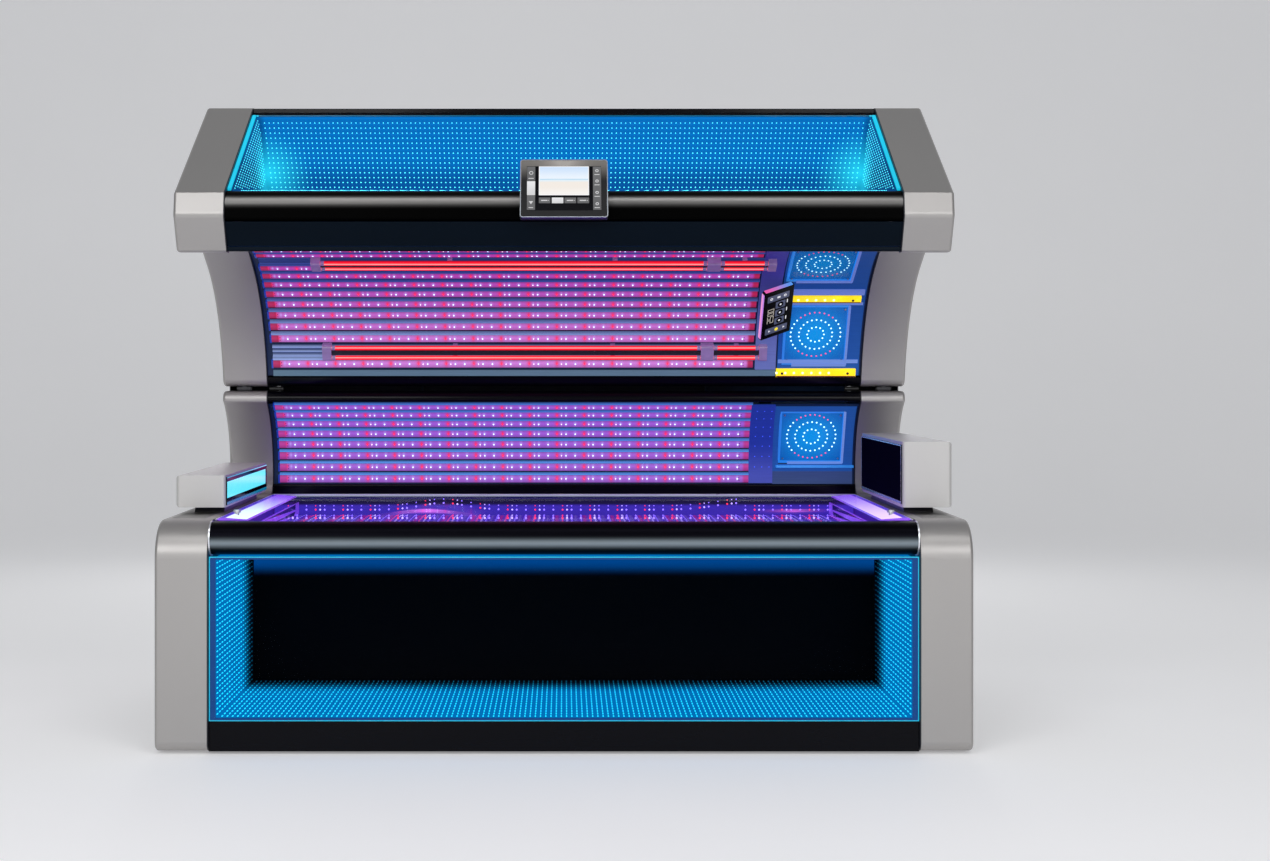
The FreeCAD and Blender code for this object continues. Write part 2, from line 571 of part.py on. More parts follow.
def canopy_arm():
    """Right canopy side plate with its hinge boss, lift lever and lever pin."""
    outline = [
        (1390, 1100, 30), (1132, 1100, 12), arc_corner(CANOPY_ARC, 16, 60, 30), (650, 1592, 100),
        (455, 1630, 60), (400, 1600, 10), (335, 1600, 10), (335, 1672, 20), (815, 1966, 20),
        (1135, 1966, 150), (1418, 1520, 300),
    ]
    plate = prism(rounded(outline), FRAME_X - 6, FRAME_X + 6)
    holes = [prism(rounded([(a, b, 30), (c, b, 30), (c, e, 30), (a, e, 30)]), FRAME_X - 9, FRAME_X + 9)
             for a, b, c, e in ((1160, 1220, 1340, 1420), (1090, 1480, 1300, 1660), (760, 1620, 980, 1860))]
    plate = plate.cut(compound(holes))
    pin_depth, pin_height = lever_pin(0)
    along = Vector(0, pin_depth - HINGE_DEPTH, pin_height - HINGE_HEIGHT).normalize()
    across = Vector(0, -along.z, along.y)
    hub, pin = at(FRAME_X - 6, HINGE_DEPTH, HINGE_HEIGHT), at(FRAME_X - 6, pin_depth, pin_height)
    corners = [hub + across * 24, hub - across * 15.8, pin - across * 13, pin + across * 13]
    lever = Part.Face(Part.makePolygon(corners + corners[:1])).extrude(Vector(12, 0, 0))
    neck = prism(rounded([(1134, 1056), (1134, 1104), (1240, 1104), (1164, 1056)]), FRAME_X - 6, FRAME_X + 6)
    boss = cylinder(FRAME_X, HINGE_DEPTH, HINGE_HEIGHT, HUB_R, PLATE_GAP - 1)
    arm = fuse([plate, lever, neck, boss, cylinder(FRAME_X, pin_depth, pin_height, 13, 12),
                cylinder(FRAME_X, pin_depth, pin_height, LEVER_PIN_R, PLATE_GAP - 2.5)])
    return arm.cut(cylinder(FRAME_X, HINGE_DEPTH, HINGE_HEIGHT, HINGE_R + FIT, 60))


def lift_rod():
    """Right lift rod with a fork whose slots take the arc of the lever pin."""
    pin_depth, pin_height = lever_pin(0)
    middle_depth = lever_pin(OPENING_ANGLE / 2)[0]
    slot_from, slot_to = pin_depth - LEVER_PIN_R - 1.5, middle_depth + LEVER_PIN_R + 1.5
    half = LEVER_PIN_R + 1.3
    low, shoulder, top = pin_height - 42, pin_height - 18, pin_height + 15
    front, back = slot_from - 7, slot_to + 7
    outline = [(ROD_DEPTH - 13, low, 3), (ROD_DEPTH + 13, low, 3), (back, shoulder, 4), (back, top, 6),
               (front, top, 6), (front, shoulder, 4)]
    ears = []
    for x in (FRAME_X - PLATE_GAP / 2 + 0.5, FRAME_X + PLATE_GAP / 2 - 4.5):
        slot = block(x - 1, x + 5, slot_from, slot_to, pin_height - half, pin_height + half)
        ears.append(prism(rounded(outline), x, x + 4).cut(slot))
    reach = PLATE_GAP / 2 - 0.5
    yoke = block(FRAME_X - reach, FRAME_X + reach, ROD_DEPTH - 11, ROD_DEPTH + 11, low, low + 17)
    rod = Part.makeCylinder(ROD_R, pin_height - 30 - 640, at(FRAME_X, ROD_DEPTH, 640))
    return fuse(ears + [yoke, rod])


def lift_drive():
    """Right lift drive: guide tube with an end cap, gear head and motor, hung between the plates."""
    tube = Part.makeCylinder(13, 300, at(FRAME_X, ROD_DEPTH, 558))
    head = block(FRAME_X - 13.9, FRAME_X + 13.9, ROD_DEPTH - 16, ROD_DEPTH + 92, 530, 562)
    motor = Part.makeCylinder(13.5, 96, at(FRAME_X, ROD_DEPTH + 70, 562))
    cap = Part.makeCylinder(13.9, 14, at(FRAME_X, ROD_DEPTH, 846))
    bolt = cylinder(FRAME_X, ROD_DEPTH - 4, 546, 5, PLATE_GAP)
    bore = Part.makeCylinder(ROD_R + FIT, 300, at(FRAME_X, ROD_DEPTH, 610))
    return fuse([tube, head, motor, cap, bolt]).cut(bore)


def canopy_drum():
    """Right wedge cover: a sector wall and a curved sheet that slide up out of the base cheek."""
    ring = (HINGE_DEPTH, HINGE_HEIGHT, DRUM_R)
    sheet = arc_sheet(ring, -46.5, 6, -3, 0, INNER + 10, HALF - SHEET - 1)
    wall = arc_sheet(ring, -46.5, 6, -180, -1, HALF - SHEET - 4, HALF - SHEET - 1)
    return fuse([sheet, wall]).common(block(0, HALF, 1150, 1480, 700, SEAM_HIGH))


def canopy_skirt():
    """Curved sheet between the cheeks that closes the rear wedge as the canopy comes down."""
    ring = (HINGE_DEPTH, HINGE_HEIGHT, SKIRT_R)
    half = SPAN - 6
    sheet = arc_sheet(ring, -47, 6, -6, -3, -half, half)
    ribs = [arc_sheet(ring, -47, 6, -40, -5, x - 3, x + 3) for x in (-half + 3, -520, 0, 520, half - 3)]
    return fuse([sheet] + ribs).common(block(-HALF, HALF, 1150, 1480, 700, SEAM_HIGH))


def add_hinges_and_lift():
    """Hinge pins, canopy side plates, wedge covers and both lifts."""
    heads = [cylinder(FRAME_X + side * 24, HINGE_DEPTH, HINGE_HEIGHT, 13.5, 4) for side in (-1, 1)]
    add("hinge_pins", both_sides([fuse([cylinder(FRAME_X, HINGE_DEPTH, HINGE_HEIGHT, HINGE_R, 52)] + heads)]))
    add("lift_drives", both_sides([lift_drive()]))
    add_pair("lift_rod", lift_rod())
    reach = FRAME_X - 6
    tubes = [block(-reach, reach, *tube) for tube in CANOPY_TUBES]
    hollows = [tube_hollow(-reach - 1, reach + 1, *tube) for tube in CANOPY_TUBES]
    add("canopy_frame", fuse(both_sides([canopy_arm()]) + tubes).cut(compound(hollows)))
    add("canopy_wedge_covers", both_sides([canopy_drum()]) + [canopy_skirt()])


# ---------------------------------------------------------------- canopy shell
def canopy_cheek():
    """Right outer cover of the canopy, slotted below for the side plate and the hinge."""
    hinge_slot = block(FRAME_X - 30, FRAME_X + 30, 1128, 1172, SEAM_HIGH - 4, SEAM_HIGH + 10)
    lever_slot = block(FRAME_X - 12, FRAME_X + 12, 1170, 1345, SEAM_HIGH - 4, SEAM_HIGH + 10)
    return shell(canopy_outline(), INNER + LINER).cut(fuse([hinge_slot, lever_slot]))


def canopy_liner():
    """Right inner side sheet of the canopy, open where the tubes pass."""
    return prism(rounded(canopy_outline()), INNER, INNER + LINER).cut(
        compound([block(INNER - 1, INNER + 5, *tube) for tube in CANOPY_TUBES]))


def formers():
    """Plates that carry the reflector, notched over the cross tubes."""
    outline = [
        (1392, 1132, 6), (1392, 1192, 20), (1120, 1732, 20), (1020, 1732, 8), (1010, 1722, 4),
        (420, 1652, 20), (343, 1647, 4), (343, 1603, 4), (391, 1540),
        arc_corner(CANOPY_ARC, 22, 104, BAR_THICK + 3.3), (1200, 1132, 10),
    ]
    one = prism(rounded(outline), -2, 2).cut(compound([block(-4, 4, *tube) for tube in CANOPY_TUBES]))
    plates = []
    for x in POST_PLACES:
        plate = one.copy()
        plate.translate(Vector(x, 0, 0))
        plates.append(plate)
    return plates


def along_fascia(low, high, x_from, x_to, trim=0.0):
    """Strip along the fascia between two heights square to the glass, shortened at both ends."""
    run = Vector(0, FASCIA_HIGH[0] - FASCIA_LOW[0], FASCIA_HIGH[1] - FASCIA_LOW[1]).normalize()
    out = Vector(0, -run.z, run.y)
    start, stop = at(x_from, *FASCIA_LOW) + run * trim, at(x_from, *FASCIA_HIGH) - run * trim
    corners = [start + out * low, stop + out * low, stop + out * high, start + out * high]
    return Part.Face(Part.makePolygon(corners + corners[:1])).extrude(Vector(x_to - x_from, 0, 0))


def add_fascia():
    """Sloping glass, its light guides and the wedge light box below it."""
    add("fascia_glass", along_fascia(0, 5, -SPAN + 1, SPAN - 1))
    sides = both_sides([along_fascia(-8, 0, 1031, SPAN - 1, 18)])
    across = block(-1030, 1030, 789, 798, 1975.2, 1979)
    add("fascia_light_guides", sides + [across])
    outer = [(312, 1676), (800, 1975), (836, 1962), (1014, 1750), (1004, 1738)]
    inner = [(318, 1682), (250, 1720), (760, 2030), (790, 1972), (828, 1960), (1006, 1750), (1000, 1743)]
    box = prism(rounded(outer), -1030, 1030).cut(prism(rounded(inner), -1026, 1026))
    add("fascia_light_box", box)


def add_canopy_shell():
    """Cheeks, formers, lip, rear cover and fascia."""
    add_pair("canopy_cheek_cover", canopy_cheek())
    add("canopy_cheek_liners", both_sides([canopy_liner()]))
    add("canopy_formers", formers())
    roll = [(272, 1590, 8), (272, 1660, LIP_ROLL), (300, 1679, 3), (340, 1679), (340, 1586), (280, 1586, 4)]
    inside = [(276, 1594, 4), (276, 1658, LIP_ROLL - SHEET), (301, 1675), (350, 1675), (350, 1590)]
    hollow = prism(rounded(inside), -SPAN - 1, SPAN + 1)
    roof_cut = block(-HALF, HALF, 311, 345, 1650, 1690)
    add("canopy_lip", prism(rounded(roll), -SPAN, SPAN).cut(hollow).cut(roof_cut))
    panel = [(276, 1583), (318, 1511), (322, 1513), (284, 1580), (340, 1580), (340, 1583)]
    rim = [(318, 1495, 5), (346, 1495, 4), (346, 1509), (318, 1509, 2)]
    add("canopy_lip_panel", [prism(rounded(panel), -SPAN, SPAN), prism(rounded(rim), -SPAN, SPAN)])

    wire = rounded(canopy_outline())
    region = [(843, 2020), (1500, 2020), (1500, 1060), (1384, 1060), (1384, 1073), (1412, 1073), (1412, 1400),
              (1200, 1800), (1050, 1995), (843, 1995)]
    keep = prism(rounded(region), -HALF, HALF)
    cover = prism(wire, -SPAN, SPAN).cut(prism(inset(wire, 3), -SPAN - 1, SPAN + 1)).common(keep)
    places = [side * (300 + 30 * i) for side in (-1, 1) for i in range(14)]
    vents = [block(x, x + 12, 890, 1060, 1998, 2012) for x in places]
    add("canopy_rear_cover", cover.cut(compound(vents)))
    add_fascia()


# ---------------------------------------------------------------- pods and controls
def pod(top):
    """Right pod body, as high as asked, with rounded uprights and outer edges."""
    body = block(INNER + 3, HALF, 308, 1100, 702, top)
    upright = [e for e in body.Edges if e.BoundBox.ZLength > 50]
    outer = [e for e in body.Edges if e.BoundBox.XMin > HALF - 0.01 and e.BoundBox.ZLength < 1]
    return body.makeFillet(12, upright + outer)


def add_pods():
    """Control pods that stand on the base cheeks, each on a stalk."""
    tall = pod(905)
    low = mirrored(pod(801))
    add("pod_bodies", [tall, low])
    add("pod_screen_right", block(INNER, INNER + 2.8, 316, 1092, 712, 895))
    add("pod_screen_left", mirrored(block(INNER, INNER + 2.8, 316, 1092, 708, 795)))
    side_view = [(370, BENCH_HEIGHT, 3), (1000, BENCH_HEIGHT, 3), (980, 702), (390, 702)]
    add("pod_stalks", both_sides([prism(rounded(side_view), 1062, 1154)]))


def add_display():
    """Record the tilting display on the lip, and return its bracket and pin."""
    body = soft_box(-134, 134, 0, 19, 0, 205, 5)
    body.rotate(Vector(0, 0, 0), Vector(1, 0, 0), -DISPLAY_LEAN)
    body.translate(at(0, *DISPLAY_FOOT))
    pivot = cylinder(0, *DISPLAY_HINGE, 4.05, 100)
    lugs = []
    for x in (-22, 22):
        lug = fuse([cylinder(x, *DISPLAY_HINGE, 7.5, 10),
                    prism(rounded([(232, 1612), (240, 1632), (258, 1628), (252, 1615)]), x - 5, x + 5)])
        lugs.append(lug)
    add("lip_display", fuse([body] + lugs).cut(pivot))
    knuckle = fuse([cylinder(0, *DISPLAY_HINGE, 7.5, 33), block(-16.5, 16.5, 258, 272, 1614, 1630),
                    block(-30, 30, 267, 272, 1604, 1634)])
    return knuckle.cut(pivot), cylinder(0, *DISPLAY_HINGE, 4, 58)


def on_tablet_mount(shape):
    """Move a piece built about the tablet's middle to the tablet's place."""
    return placed(shape, TABLET_DEPTH, TABLET_HEIGHT, TABLET_LEAN, TABLET_X)


def tablet_fittings():
    """Swivel bracket on the partition, and its pin."""
    shaft = Part.makeCylinder(4 + FIT, 80, Vector(0, TABLET_PIVOT, -40))
    knuckle = Part.makeCylinder(8, 27, Vector(0, TABLET_PIVOT, -13.5))
    stem = Part.makeBox(14, 26, 24, Vector(-7, TABLET_PIVOT + 2, -12))
    foot = Part.makeBox(48, 5, 60, Vector(-24, 42.8, -30))
    pin = Part.makeCylinder(4, 56, Vector(0, TABLET_PIVOT, -28))
    return on_tablet_mount(fuse([knuckle, stem, foot]).cut(shaft)), on_tablet_mount(pin)


def control_tablet():
    """Control tablet inside the canopy, turned on its swivel towards the head end."""
    body = soft_box(-60, 60, -8.5, 8.5, -105, 105, 4)
    lugs = [Part.makeBox(16, 16, 12, Vector(-8, 8, z)).fuse(
        Part.makeCylinder(8, 12, Vector(0, TABLET_PIVOT, z))) for z in (-26, 14)]
    tablet = fuse([body] + lugs).cut(Part.makeCylinder(4 + FIT, 80, Vector(0, TABLET_PIVOT, -40)))
    tablet.rotate(Vector(0, TABLET_PIVOT, 0), Vector(0, 0, 1), TABLET_TURN)
    return on_tablet_mount(tablet)


def main():
    """Build every node and write one STEP file each."""
    add_base_structure()
    add_front()
    add_bench()
    add_base_wall()
    add_canopy_wall()
    add_base_rear()
    add_hinges_and_lift()
    add_canopy_shell()
    add_pods()
    add("control_tablet", control_tablet())
    brackets, pins = zip(add_display(), tablet_fittings())
    add("control_brackets", list(brackets))
    add("control_pins", list(pins))
    os.makedirs("parts", exist_ok=True)
    for name, shape in NODES.items():
        shape.exportStep(os.path.join("parts", name + ".step"))
        box = shape.optimalBoundingBox(True)
        print(name, len(shape.Solids), shape.isValid(), [round(v, 1) for v in (
            box.XMin, box.XMax, box.YMin, box.YMax, box.ZMin, box.ZMax)])
    print(len(NODES), "nodes")


main()
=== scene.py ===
"""Looks of an open clamshell tanning bed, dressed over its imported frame."""

import logging
import math
from abc import ABC, abstractmethod
from dataclasses import dataclass
from enum import Enum
from typing import Any, ClassVar, Iterable, Optional, Sequence, Union

import bmesh
import bpy
from mathutils import Matrix, Vector


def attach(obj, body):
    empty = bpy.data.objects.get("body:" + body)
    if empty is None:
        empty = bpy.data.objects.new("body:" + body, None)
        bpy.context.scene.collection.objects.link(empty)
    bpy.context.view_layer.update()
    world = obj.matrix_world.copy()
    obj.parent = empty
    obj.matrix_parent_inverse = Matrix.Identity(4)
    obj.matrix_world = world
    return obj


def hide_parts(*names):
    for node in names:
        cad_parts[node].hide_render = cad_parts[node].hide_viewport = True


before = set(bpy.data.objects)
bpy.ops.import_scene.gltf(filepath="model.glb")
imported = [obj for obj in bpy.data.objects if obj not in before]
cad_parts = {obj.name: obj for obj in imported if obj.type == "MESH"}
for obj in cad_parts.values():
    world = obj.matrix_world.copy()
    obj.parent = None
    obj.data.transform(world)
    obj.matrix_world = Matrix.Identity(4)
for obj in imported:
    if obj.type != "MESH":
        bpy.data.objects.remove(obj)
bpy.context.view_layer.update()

log = logging.getLogger("tanning_bed")

Colour = tuple[float, float, float]
Pair = tuple[float, float]
Triple = tuple[float, float, float]
Source = Union["Wire", float, Colour, Vector]
Sockets = dict[str, Source]

MM = 0.001
MIDDLE_DEPTH = 740.0
BED = Matrix.Scale(MM, 4) @ Matrix.Translation((0.0, -MIDDLE_DEPTH, 0.0))
LOCAL = Matrix.Scale(MM, 4)
ORIGIN = (0.0, 0.0, 0.0)


class Body(Enum):
    """Moving bodies of the bed."""

    BASE = "base"
    CANOPY = "canopy"
    DISPLAY = "lip_display"
    TABLET = "control_tablet"


class Axis(Enum):
    """Direction that a turned form points along."""

    X = 0
    DEPTH = 1
    HEIGHT = 2


class Repeat(Enum):
    """Ways in which one small form is repeated."""

    ROW = "straight_row"
    ARC = "round_an_arc_wall"
    RING = "round_a_ring"


# ---------------------------------------------------------------- shader expressions
class Wire:
    """A shader value that can stand in a Python expression."""

    def __init__(self, look: "Look", socket: bpy.types.NodeSocket) -> None:
        """Keep the socket and the look it belongs to."""
        self.look = look
        self.socket = socket

    def _math(self, operation: str, other: Source, flipped: bool = False) -> "Wire":
        """Join this value and another by a Math node.

        Args:
            operation: Name of the Math operation.
            other: Second value.
            flipped: Whether the other value comes first.

        Returns:
            The result.
        """
        pair = (other, self) if flipped else (self, other)
        return self.look.value("ShaderNodeMath", {"operation": operation}, {0: pair[0], 1: pair[1]})

    def __add__(self, other: Source) -> "Wire":
        """Sum."""
        return self._math("ADD", other)

    __radd__ = __add__

    def __sub__(self, other: Source) -> "Wire":
        """Difference."""
        return self._math("SUBTRACT", other)

    def __rsub__(self, other: Source) -> "Wire":
        """Difference with this value taken away."""
        return self._math("SUBTRACT", other, True)

    def __mul__(self, other: Source) -> "Wire":
        """Product."""
        return self._math("MULTIPLY", other)

    __rmul__ = __mul__

    def __truediv__(self, other: Source) -> "Wire":
        """Quotient."""
        return self._math("DIVIDE", other)

    def __rtruediv__(self, other: Source) -> "Wire":
        """Quotient with this value below."""
        return self._math("DIVIDE", other, True)

    def __pow__(self, other: Source) -> "Wire":
        """Power."""
        return self._math("POWER", other)

    def __lt__(self, other: Source) -> "Wire":
        """1 where this value is the smaller."""
        return self._math("LESS_THAN", other)

    def __gt__(self, other: Source) -> "Wire":
        """1 where this value is the larger."""
        return self._math("GREATER_THAN", other)

    def __abs__(self) -> "Wire":
        """Size without its sign."""
        return self.look.value("ShaderNodeMath", {"operation": "ABSOLUTE"}, {0: self})

    def least(self, other: Source) -> "Wire":
        """The smaller of two values."""
        return self._math("MINIMUM", other)

    def most(self, other: Source) -> "Wire":
        """The larger of two values."""
        return self._math("MAXIMUM", other)

    def fraction(self) -> "Wire":
        """Part behind the decimal point."""
        return self.look.value("ShaderNodeMath", {"operation": "FRACT"}, {0: self})

    def ramp(self, start: float, stop: float) -> "Wire":
        """Smooth step from 0 at start to 1 at stop."""
        settings = {"interpolation_type": "SMOOTHSTEP"}
        return self.look.value("ShaderNodeMapRange", settings, {0: self, 1: start, 2: stop})

    def bell(self, centre: float, reach: float) -> "Wire":
        """1 at a centre, falling to 0 at a reach from it."""
        return (1 - abs(self - centre) / reach).most(0.0) ** 2


class Look:
    """Node tree of one material."""

    def __init__(self, name: str) -> None:
        """Start an empty material with its output.

        Args:
            name: Name of the material.
        """
        self.material = bpy.data.materials.new(name)
        self.material.use_nodes = True
        self.tree = self.material.node_tree
        self.tree.nodes.clear()
        self.output = self.tree.nodes.new("ShaderNodeOutputMaterial")

    def node(self, kind: str, settings: Optional[dict] = None,
             inputs: Optional[dict] = None) -> bpy.types.Node:
        """Add any node.

        Args:
            kind: Node type.
            settings: Properties set first; "stops" are a colour ramp's positions and colours.
            inputs: Values or links by socket name or number.

        Returns:
            The node.
        """
        made = self.tree.nodes.new(kind)
        for key, value in (settings or {}).items():
            if key == "stops":
                ramp = made.color_ramp
                while len(ramp.elements) < len(value):
                    ramp.elements.new(0.5)
                for element, (position, colour) in zip(ramp.elements, value):
                    element.position = position
                    element.color = (*colour, 1.0)
            else:
                setattr(made, key, value)
        for key, value in (inputs or {}).items():
            self.feed(made.inputs[key], value)
        return made

    def feed(self, socket: bpy.types.NodeSocket, value: Source) -> None:
        """Link a wire to a socket, or set its constant.

        Args:
            socket: Socket to feed.
            value: Wire, number or colour.
        """
        if isinstance(value, Wire):
            self.tree.links.new(value.socket, socket)
        elif socket.type == "RGBA":
            socket.default_value = (*value[:3], 1.0)
        else:
            socket.default_value = value

    def value(self, kind: str, settings: Optional[dict], inputs: dict, output: Union[int, str] = 0) -> Wire:
        """Add a node and return one of its outputs."""
        return Wire(self, self.node(kind, settings, inputs).outputs[output])

    def place(self) -> tuple[Wire, Wire, Wire]:
        """Object coordinates in metres, as x, y and z."""
        where = self.value("ShaderNodeTexCoord", None, {}, "Object")
        split = self.node("ShaderNodeSeparateXYZ", None, {0: where})
        return tuple(Wire(self, split.outputs[i]) for i in range(3))

    def sheet(self) -> tuple[Wire, Wire]:
        """The piece's own UV coordinates."""
        chart = self.value("ShaderNodeUVMap", {"uv_map": "UVMap"}, {})
        split = self.node("ShaderNodeSeparateXYZ", None, {0: chart})
        return Wire(self, split.outputs[0]), Wire(self, split.outputs[1])

    def noise(self, scale: float, detail: float = 2.0, stretch: Triple = (1.0, 1.0, 1.0)) -> Wire:
        """Noise from 0 to 1 on object coordinates.

        Args:
            scale: Grains to a metre.
            detail: Finer layers.
            stretch: Factor along each axis.

        Returns:
            The noise.
        """
        where = self.value("ShaderNodeTexCoord", None, {}, "Object")
        where = self.value("ShaderNodeMapping", None, {"Vector": where, "Scale": stretch})
        sizes = {"Vector": where, "Scale": scale, "Detail": detail}
        return self.value("ShaderNodeTexNoise", None, sizes, "Fac")

    def mix(self, share: Source, first: Source, second: Source) -> Wire:
        """Blend two colours."""
        return self.value("ShaderNodeMix", {"data_type": "RGBA"}, {0: share, 6: first, 7: second}, 2)

    def scaled(self, colour: Source, factor: Source) -> Wire:
        """A colour times a value."""
        return self.value("ShaderNodeVectorMath", {"operation": "SCALE"}, {0: colour, "Scale": factor})

    def bump(self, height: Wire, strength: float, distance: float) -> Wire:
        """Normal from a height."""
        sizes = {"Height": height, "Strength": strength, "Distance": distance}
        return self.value("ShaderNodeBump", None, sizes)

    def surface(self, sockets: Sockets, lamp: bool = False) -> bpy.types.Material:
        """Finish the material with a Principled shader.

        Args:
            sockets: Values or wires by socket name.
            lamp: Whether its glow counts in direct lighting.

        Returns:
            The material.
        """
        shader = self.node("ShaderNodeBsdfPrincipled", None, sockets)
        self.tree.links.new(shader.outputs[0], self.output.inputs[0])
        if not lamp:
            self.material.cycles.emission_sampling = "NONE"
        return self.material


# ---------------------------------------------------------------- finishes
@dataclass(frozen=True)
class Finish(ABC):
    """Recipe for one material: its name, and whether its glow lights what is round it."""

    name: str
    lamp: ClassVar[bool] = False

    @abstractmethod
    def sockets(self, look: Look) -> Sockets:
        """Values and wires of the Principled shader's sockets."""

    def material(self) -> bpy.types.Material:
        """Build the material."""
        look = Look(self.name)
        return look.surface(self.sockets(look), self.lamp)


@dataclass(frozen=True)
class SatinCoat(Finish):
    """Metallic satin coat with fine flake."""

    colour: Colour
    metal: float = 0.55
    roughness: float = 0.36
    flake: float = 0.06

    def sockets(self, look: Look) -> Sockets:
        """Sockets of the coat.

        Args:
            look: Material being made.

        Returns:
            Sockets by name.
        """
        grain = look.noise(1400.0, 1.0)
        cloud = look.noise(3.0, 3.0)
        shade = 1 - self.flake + grain * (1.5 * self.flake) + cloud * (0.5 * self.flake)
        rough = self.roughness + (cloud - 0.5) * 0.08 + (grain - 0.5) * 0.06
        return {
            "Base Color": look.scaled(self.colour, shade), "Roughness": rough, "Metallic": self.metal,
            "Normal": look.bump(grain, 0.12, 0.0002), "Coat Weight": 0.12, "Coat Roughness": 0.25,
        }


@dataclass(frozen=True)
class GlossMoulding(Finish):
    """Deep gloss moulding with faint wipe marks in its sheen."""

    colour: Colour
    roughness: float = 0.12
    coat: float = 0.0
    level: float = 0.35

    def sockets(self, look: Look) -> Sockets:
        """Sockets of the moulding.

        Args:
            look: Material being made.

        Returns:
            Sockets by name.
        """
        wipe = look.noise(5.0, 4.0, (0.4, 3.0, 3.0))
        speck = look.noise(700.0, 1.0)
        return {
            "Base Color": look.scaled(self.colour, 0.85 + wipe * 0.3),
            "Roughness": self.roughness * 0.7 + wipe * (0.6 * self.roughness),
            "Normal": look.bump(speck, 0.03, 0.0001), "Coat Weight": self.coat, "Coat Roughness": 0.05,
            "Specular IOR Level": self.level,
        }


@dataclass(frozen=True)
class PaintedHighlightRoll(Finish):
    """Black anodised roll with a painted highlight: a brighter band along its rounded front, set at the
    height where a light reflects, black towards its edges.
    """

    band: float
    below: float
    above: float
    satin: Colour = (0.26, 0.29, 0.31)
    black: Colour = (0.004, 0.004, 0.006)
    roughness: float = 0.38

    def sockets(self, look: Look) -> Sockets:
        """Sockets of the metal.

        Args:
            look: Material being made.

        Returns:
            Sockets by name.
        """
        _, _, z = look.place()
        grain = look.noise(30.0, 4.0, (0.4, 40.0, 40.0))
        # painted highlight: share of the brighter colour in a band of heights
        share = z.ramp(self.band - self.below, self.band) * (1 - z.ramp(self.band, self.band + self.above))
        colour = look.mix(share * share, self.black, self.satin)
        return {
            "Base Color": look.scaled(colour, 0.85 + grain * 0.3), "Metallic": 0.9,
            "Roughness": self.roughness + (grain - 0.5) * 0.12, "Specular IOR Level": 0.06,
        }


@dataclass(frozen=True)
class MattePart(Finish):
    """Moulded or powder-coated part with a fine texture."""

    colour: Colour
    roughness: float = 0.6
    grain: float = 900.0
    relief: float = 0.25
    metal: float = 0.0

    def sockets(self, look: Look) -> Sockets:
        """Sockets of the part's finish.

        Args:
            look: Material being made.

        Returns:
            Sockets by name.
        """
        grain = look.noise(self.grain, 2.0)
        cloud = look.noise(6.0, 3.0)
        return {
            "Base Color": look.scaled(self.colour, 0.85 + grain * 0.15 + cloud * 0.15),
            "Roughness": self.roughness + (cloud - 0.5) * 0.12, "Metallic": self.metal,
            "Normal": look.bump(grain, self.relief, 0.0003),
        }


@dataclass(frozen=True)
class BrushedMetal(Finish):
    """Metal with a directional brush grain, and an optional painted glow that stands in for the light of the
    lamps nearby.
    """

    colour: Colour
    roughness: float = 0.28
    stretch: Triple = (1.0, 60.0, 60.0)
    # glow: painted light, an emission the metal itself does not give
    glow: Colour = (0.0, 0.0, 0.0)
    metal: float = 0.95

    def sockets(self, look: Look) -> Sockets:
        """Sockets of the metal.

        Args:
            look: Material being made.

        Returns:
            Sockets by name.
        """
        grain = look.noise(14.0, 4.0, self.stretch)
        shade = 0.85 + grain * 0.3
        return {
            "Base Color": look.scaled(self.colour, shade), "Roughness": self.roughness * 0.8 + grain * 0.12,
            "Metallic": self.metal, "Emission Color": look.scaled(self.glow, shade), "Emission Strength": 1.0,
        }


@dataclass(frozen=True)
class ClearSheet(Finish):
    """Clear glass or acrylic that turns mirror-like at a glancing view, with optional painted glints: glowing
    spots in place of the lamps' reflections.
    """

    tint: Colour
    body: float = 0.10
    edge: float = 0.85
    roughness: float = 0.04
    haze: float = 0.0
    coat: float = 0.0
    level: float = 0.2
    painted_glint: Optional[tuple[Colour, tuple[tuple[Pair, Pair], ...]]] = None

    def sockets(self, look: Look) -> Sockets:
        """Sockets of the sheet.

        Args:
            look: Material being made.

        Returns:
            Sockets by name.
        """
        wipe = look.noise(4.0, 4.0)
        grazing = look.value("ShaderNodeLayerWeight", None, {"Blend": 0.25}, "Fresnel")
        alpha = (grazing * self.edge + self.body + wipe * self.haze).least(1.0)
        sockets = {
            "Base Color": look.scaled(self.tint, 0.9 + wipe * 0.2), "Roughness": self.roughness + wipe * 0.03,
            "Coat Weight": self.coat, "Coat Roughness": 0.02, "Specular IOR Level": self.level,
        }
        # painted glints: emission spots, each a bell across and along the sheet, that also make it less clear
        if self.painted_glint is not None:
            colour, spots = self.painted_glint
            x, y, _ = look.place()
            glow = x * 0.0
            for across, deep in spots:
                glow = glow.most((x.bell(*across) ** 0.7) * y.bell(*deep))
            alpha = alpha.most(glow * 0.85)
            sockets.update({"Emission Color": look.scaled(colour, glow), "Emission Strength": 1.5})
        return {**sockets, "Alpha": alpha}


@dataclass(frozen=True)
class Diode(Finish):
    """Small bright lens of a lamp, which may fade away towards the back of the bed."""

    colour: Colour
    strength: float = 2.0
    fade: Optional[Pair] = None

    def sockets(self, look: Look) -> Sockets:
        """Sockets of the lens.

        Args:
            look: Material being made.

        Returns:
            Sockets by name.
        """
        spread = 0.9 + look.noise(60.0, 1.0) * 0.2
        if self.fade is not None:
            spread = spread * (1 - look.place()[1].ramp(*self.fade))
        return {
            "Base Color": self.colour, "Roughness": 0.15,
            "Emission Color": look.scaled(self.colour, spread), "Emission Strength": self.strength,
        }


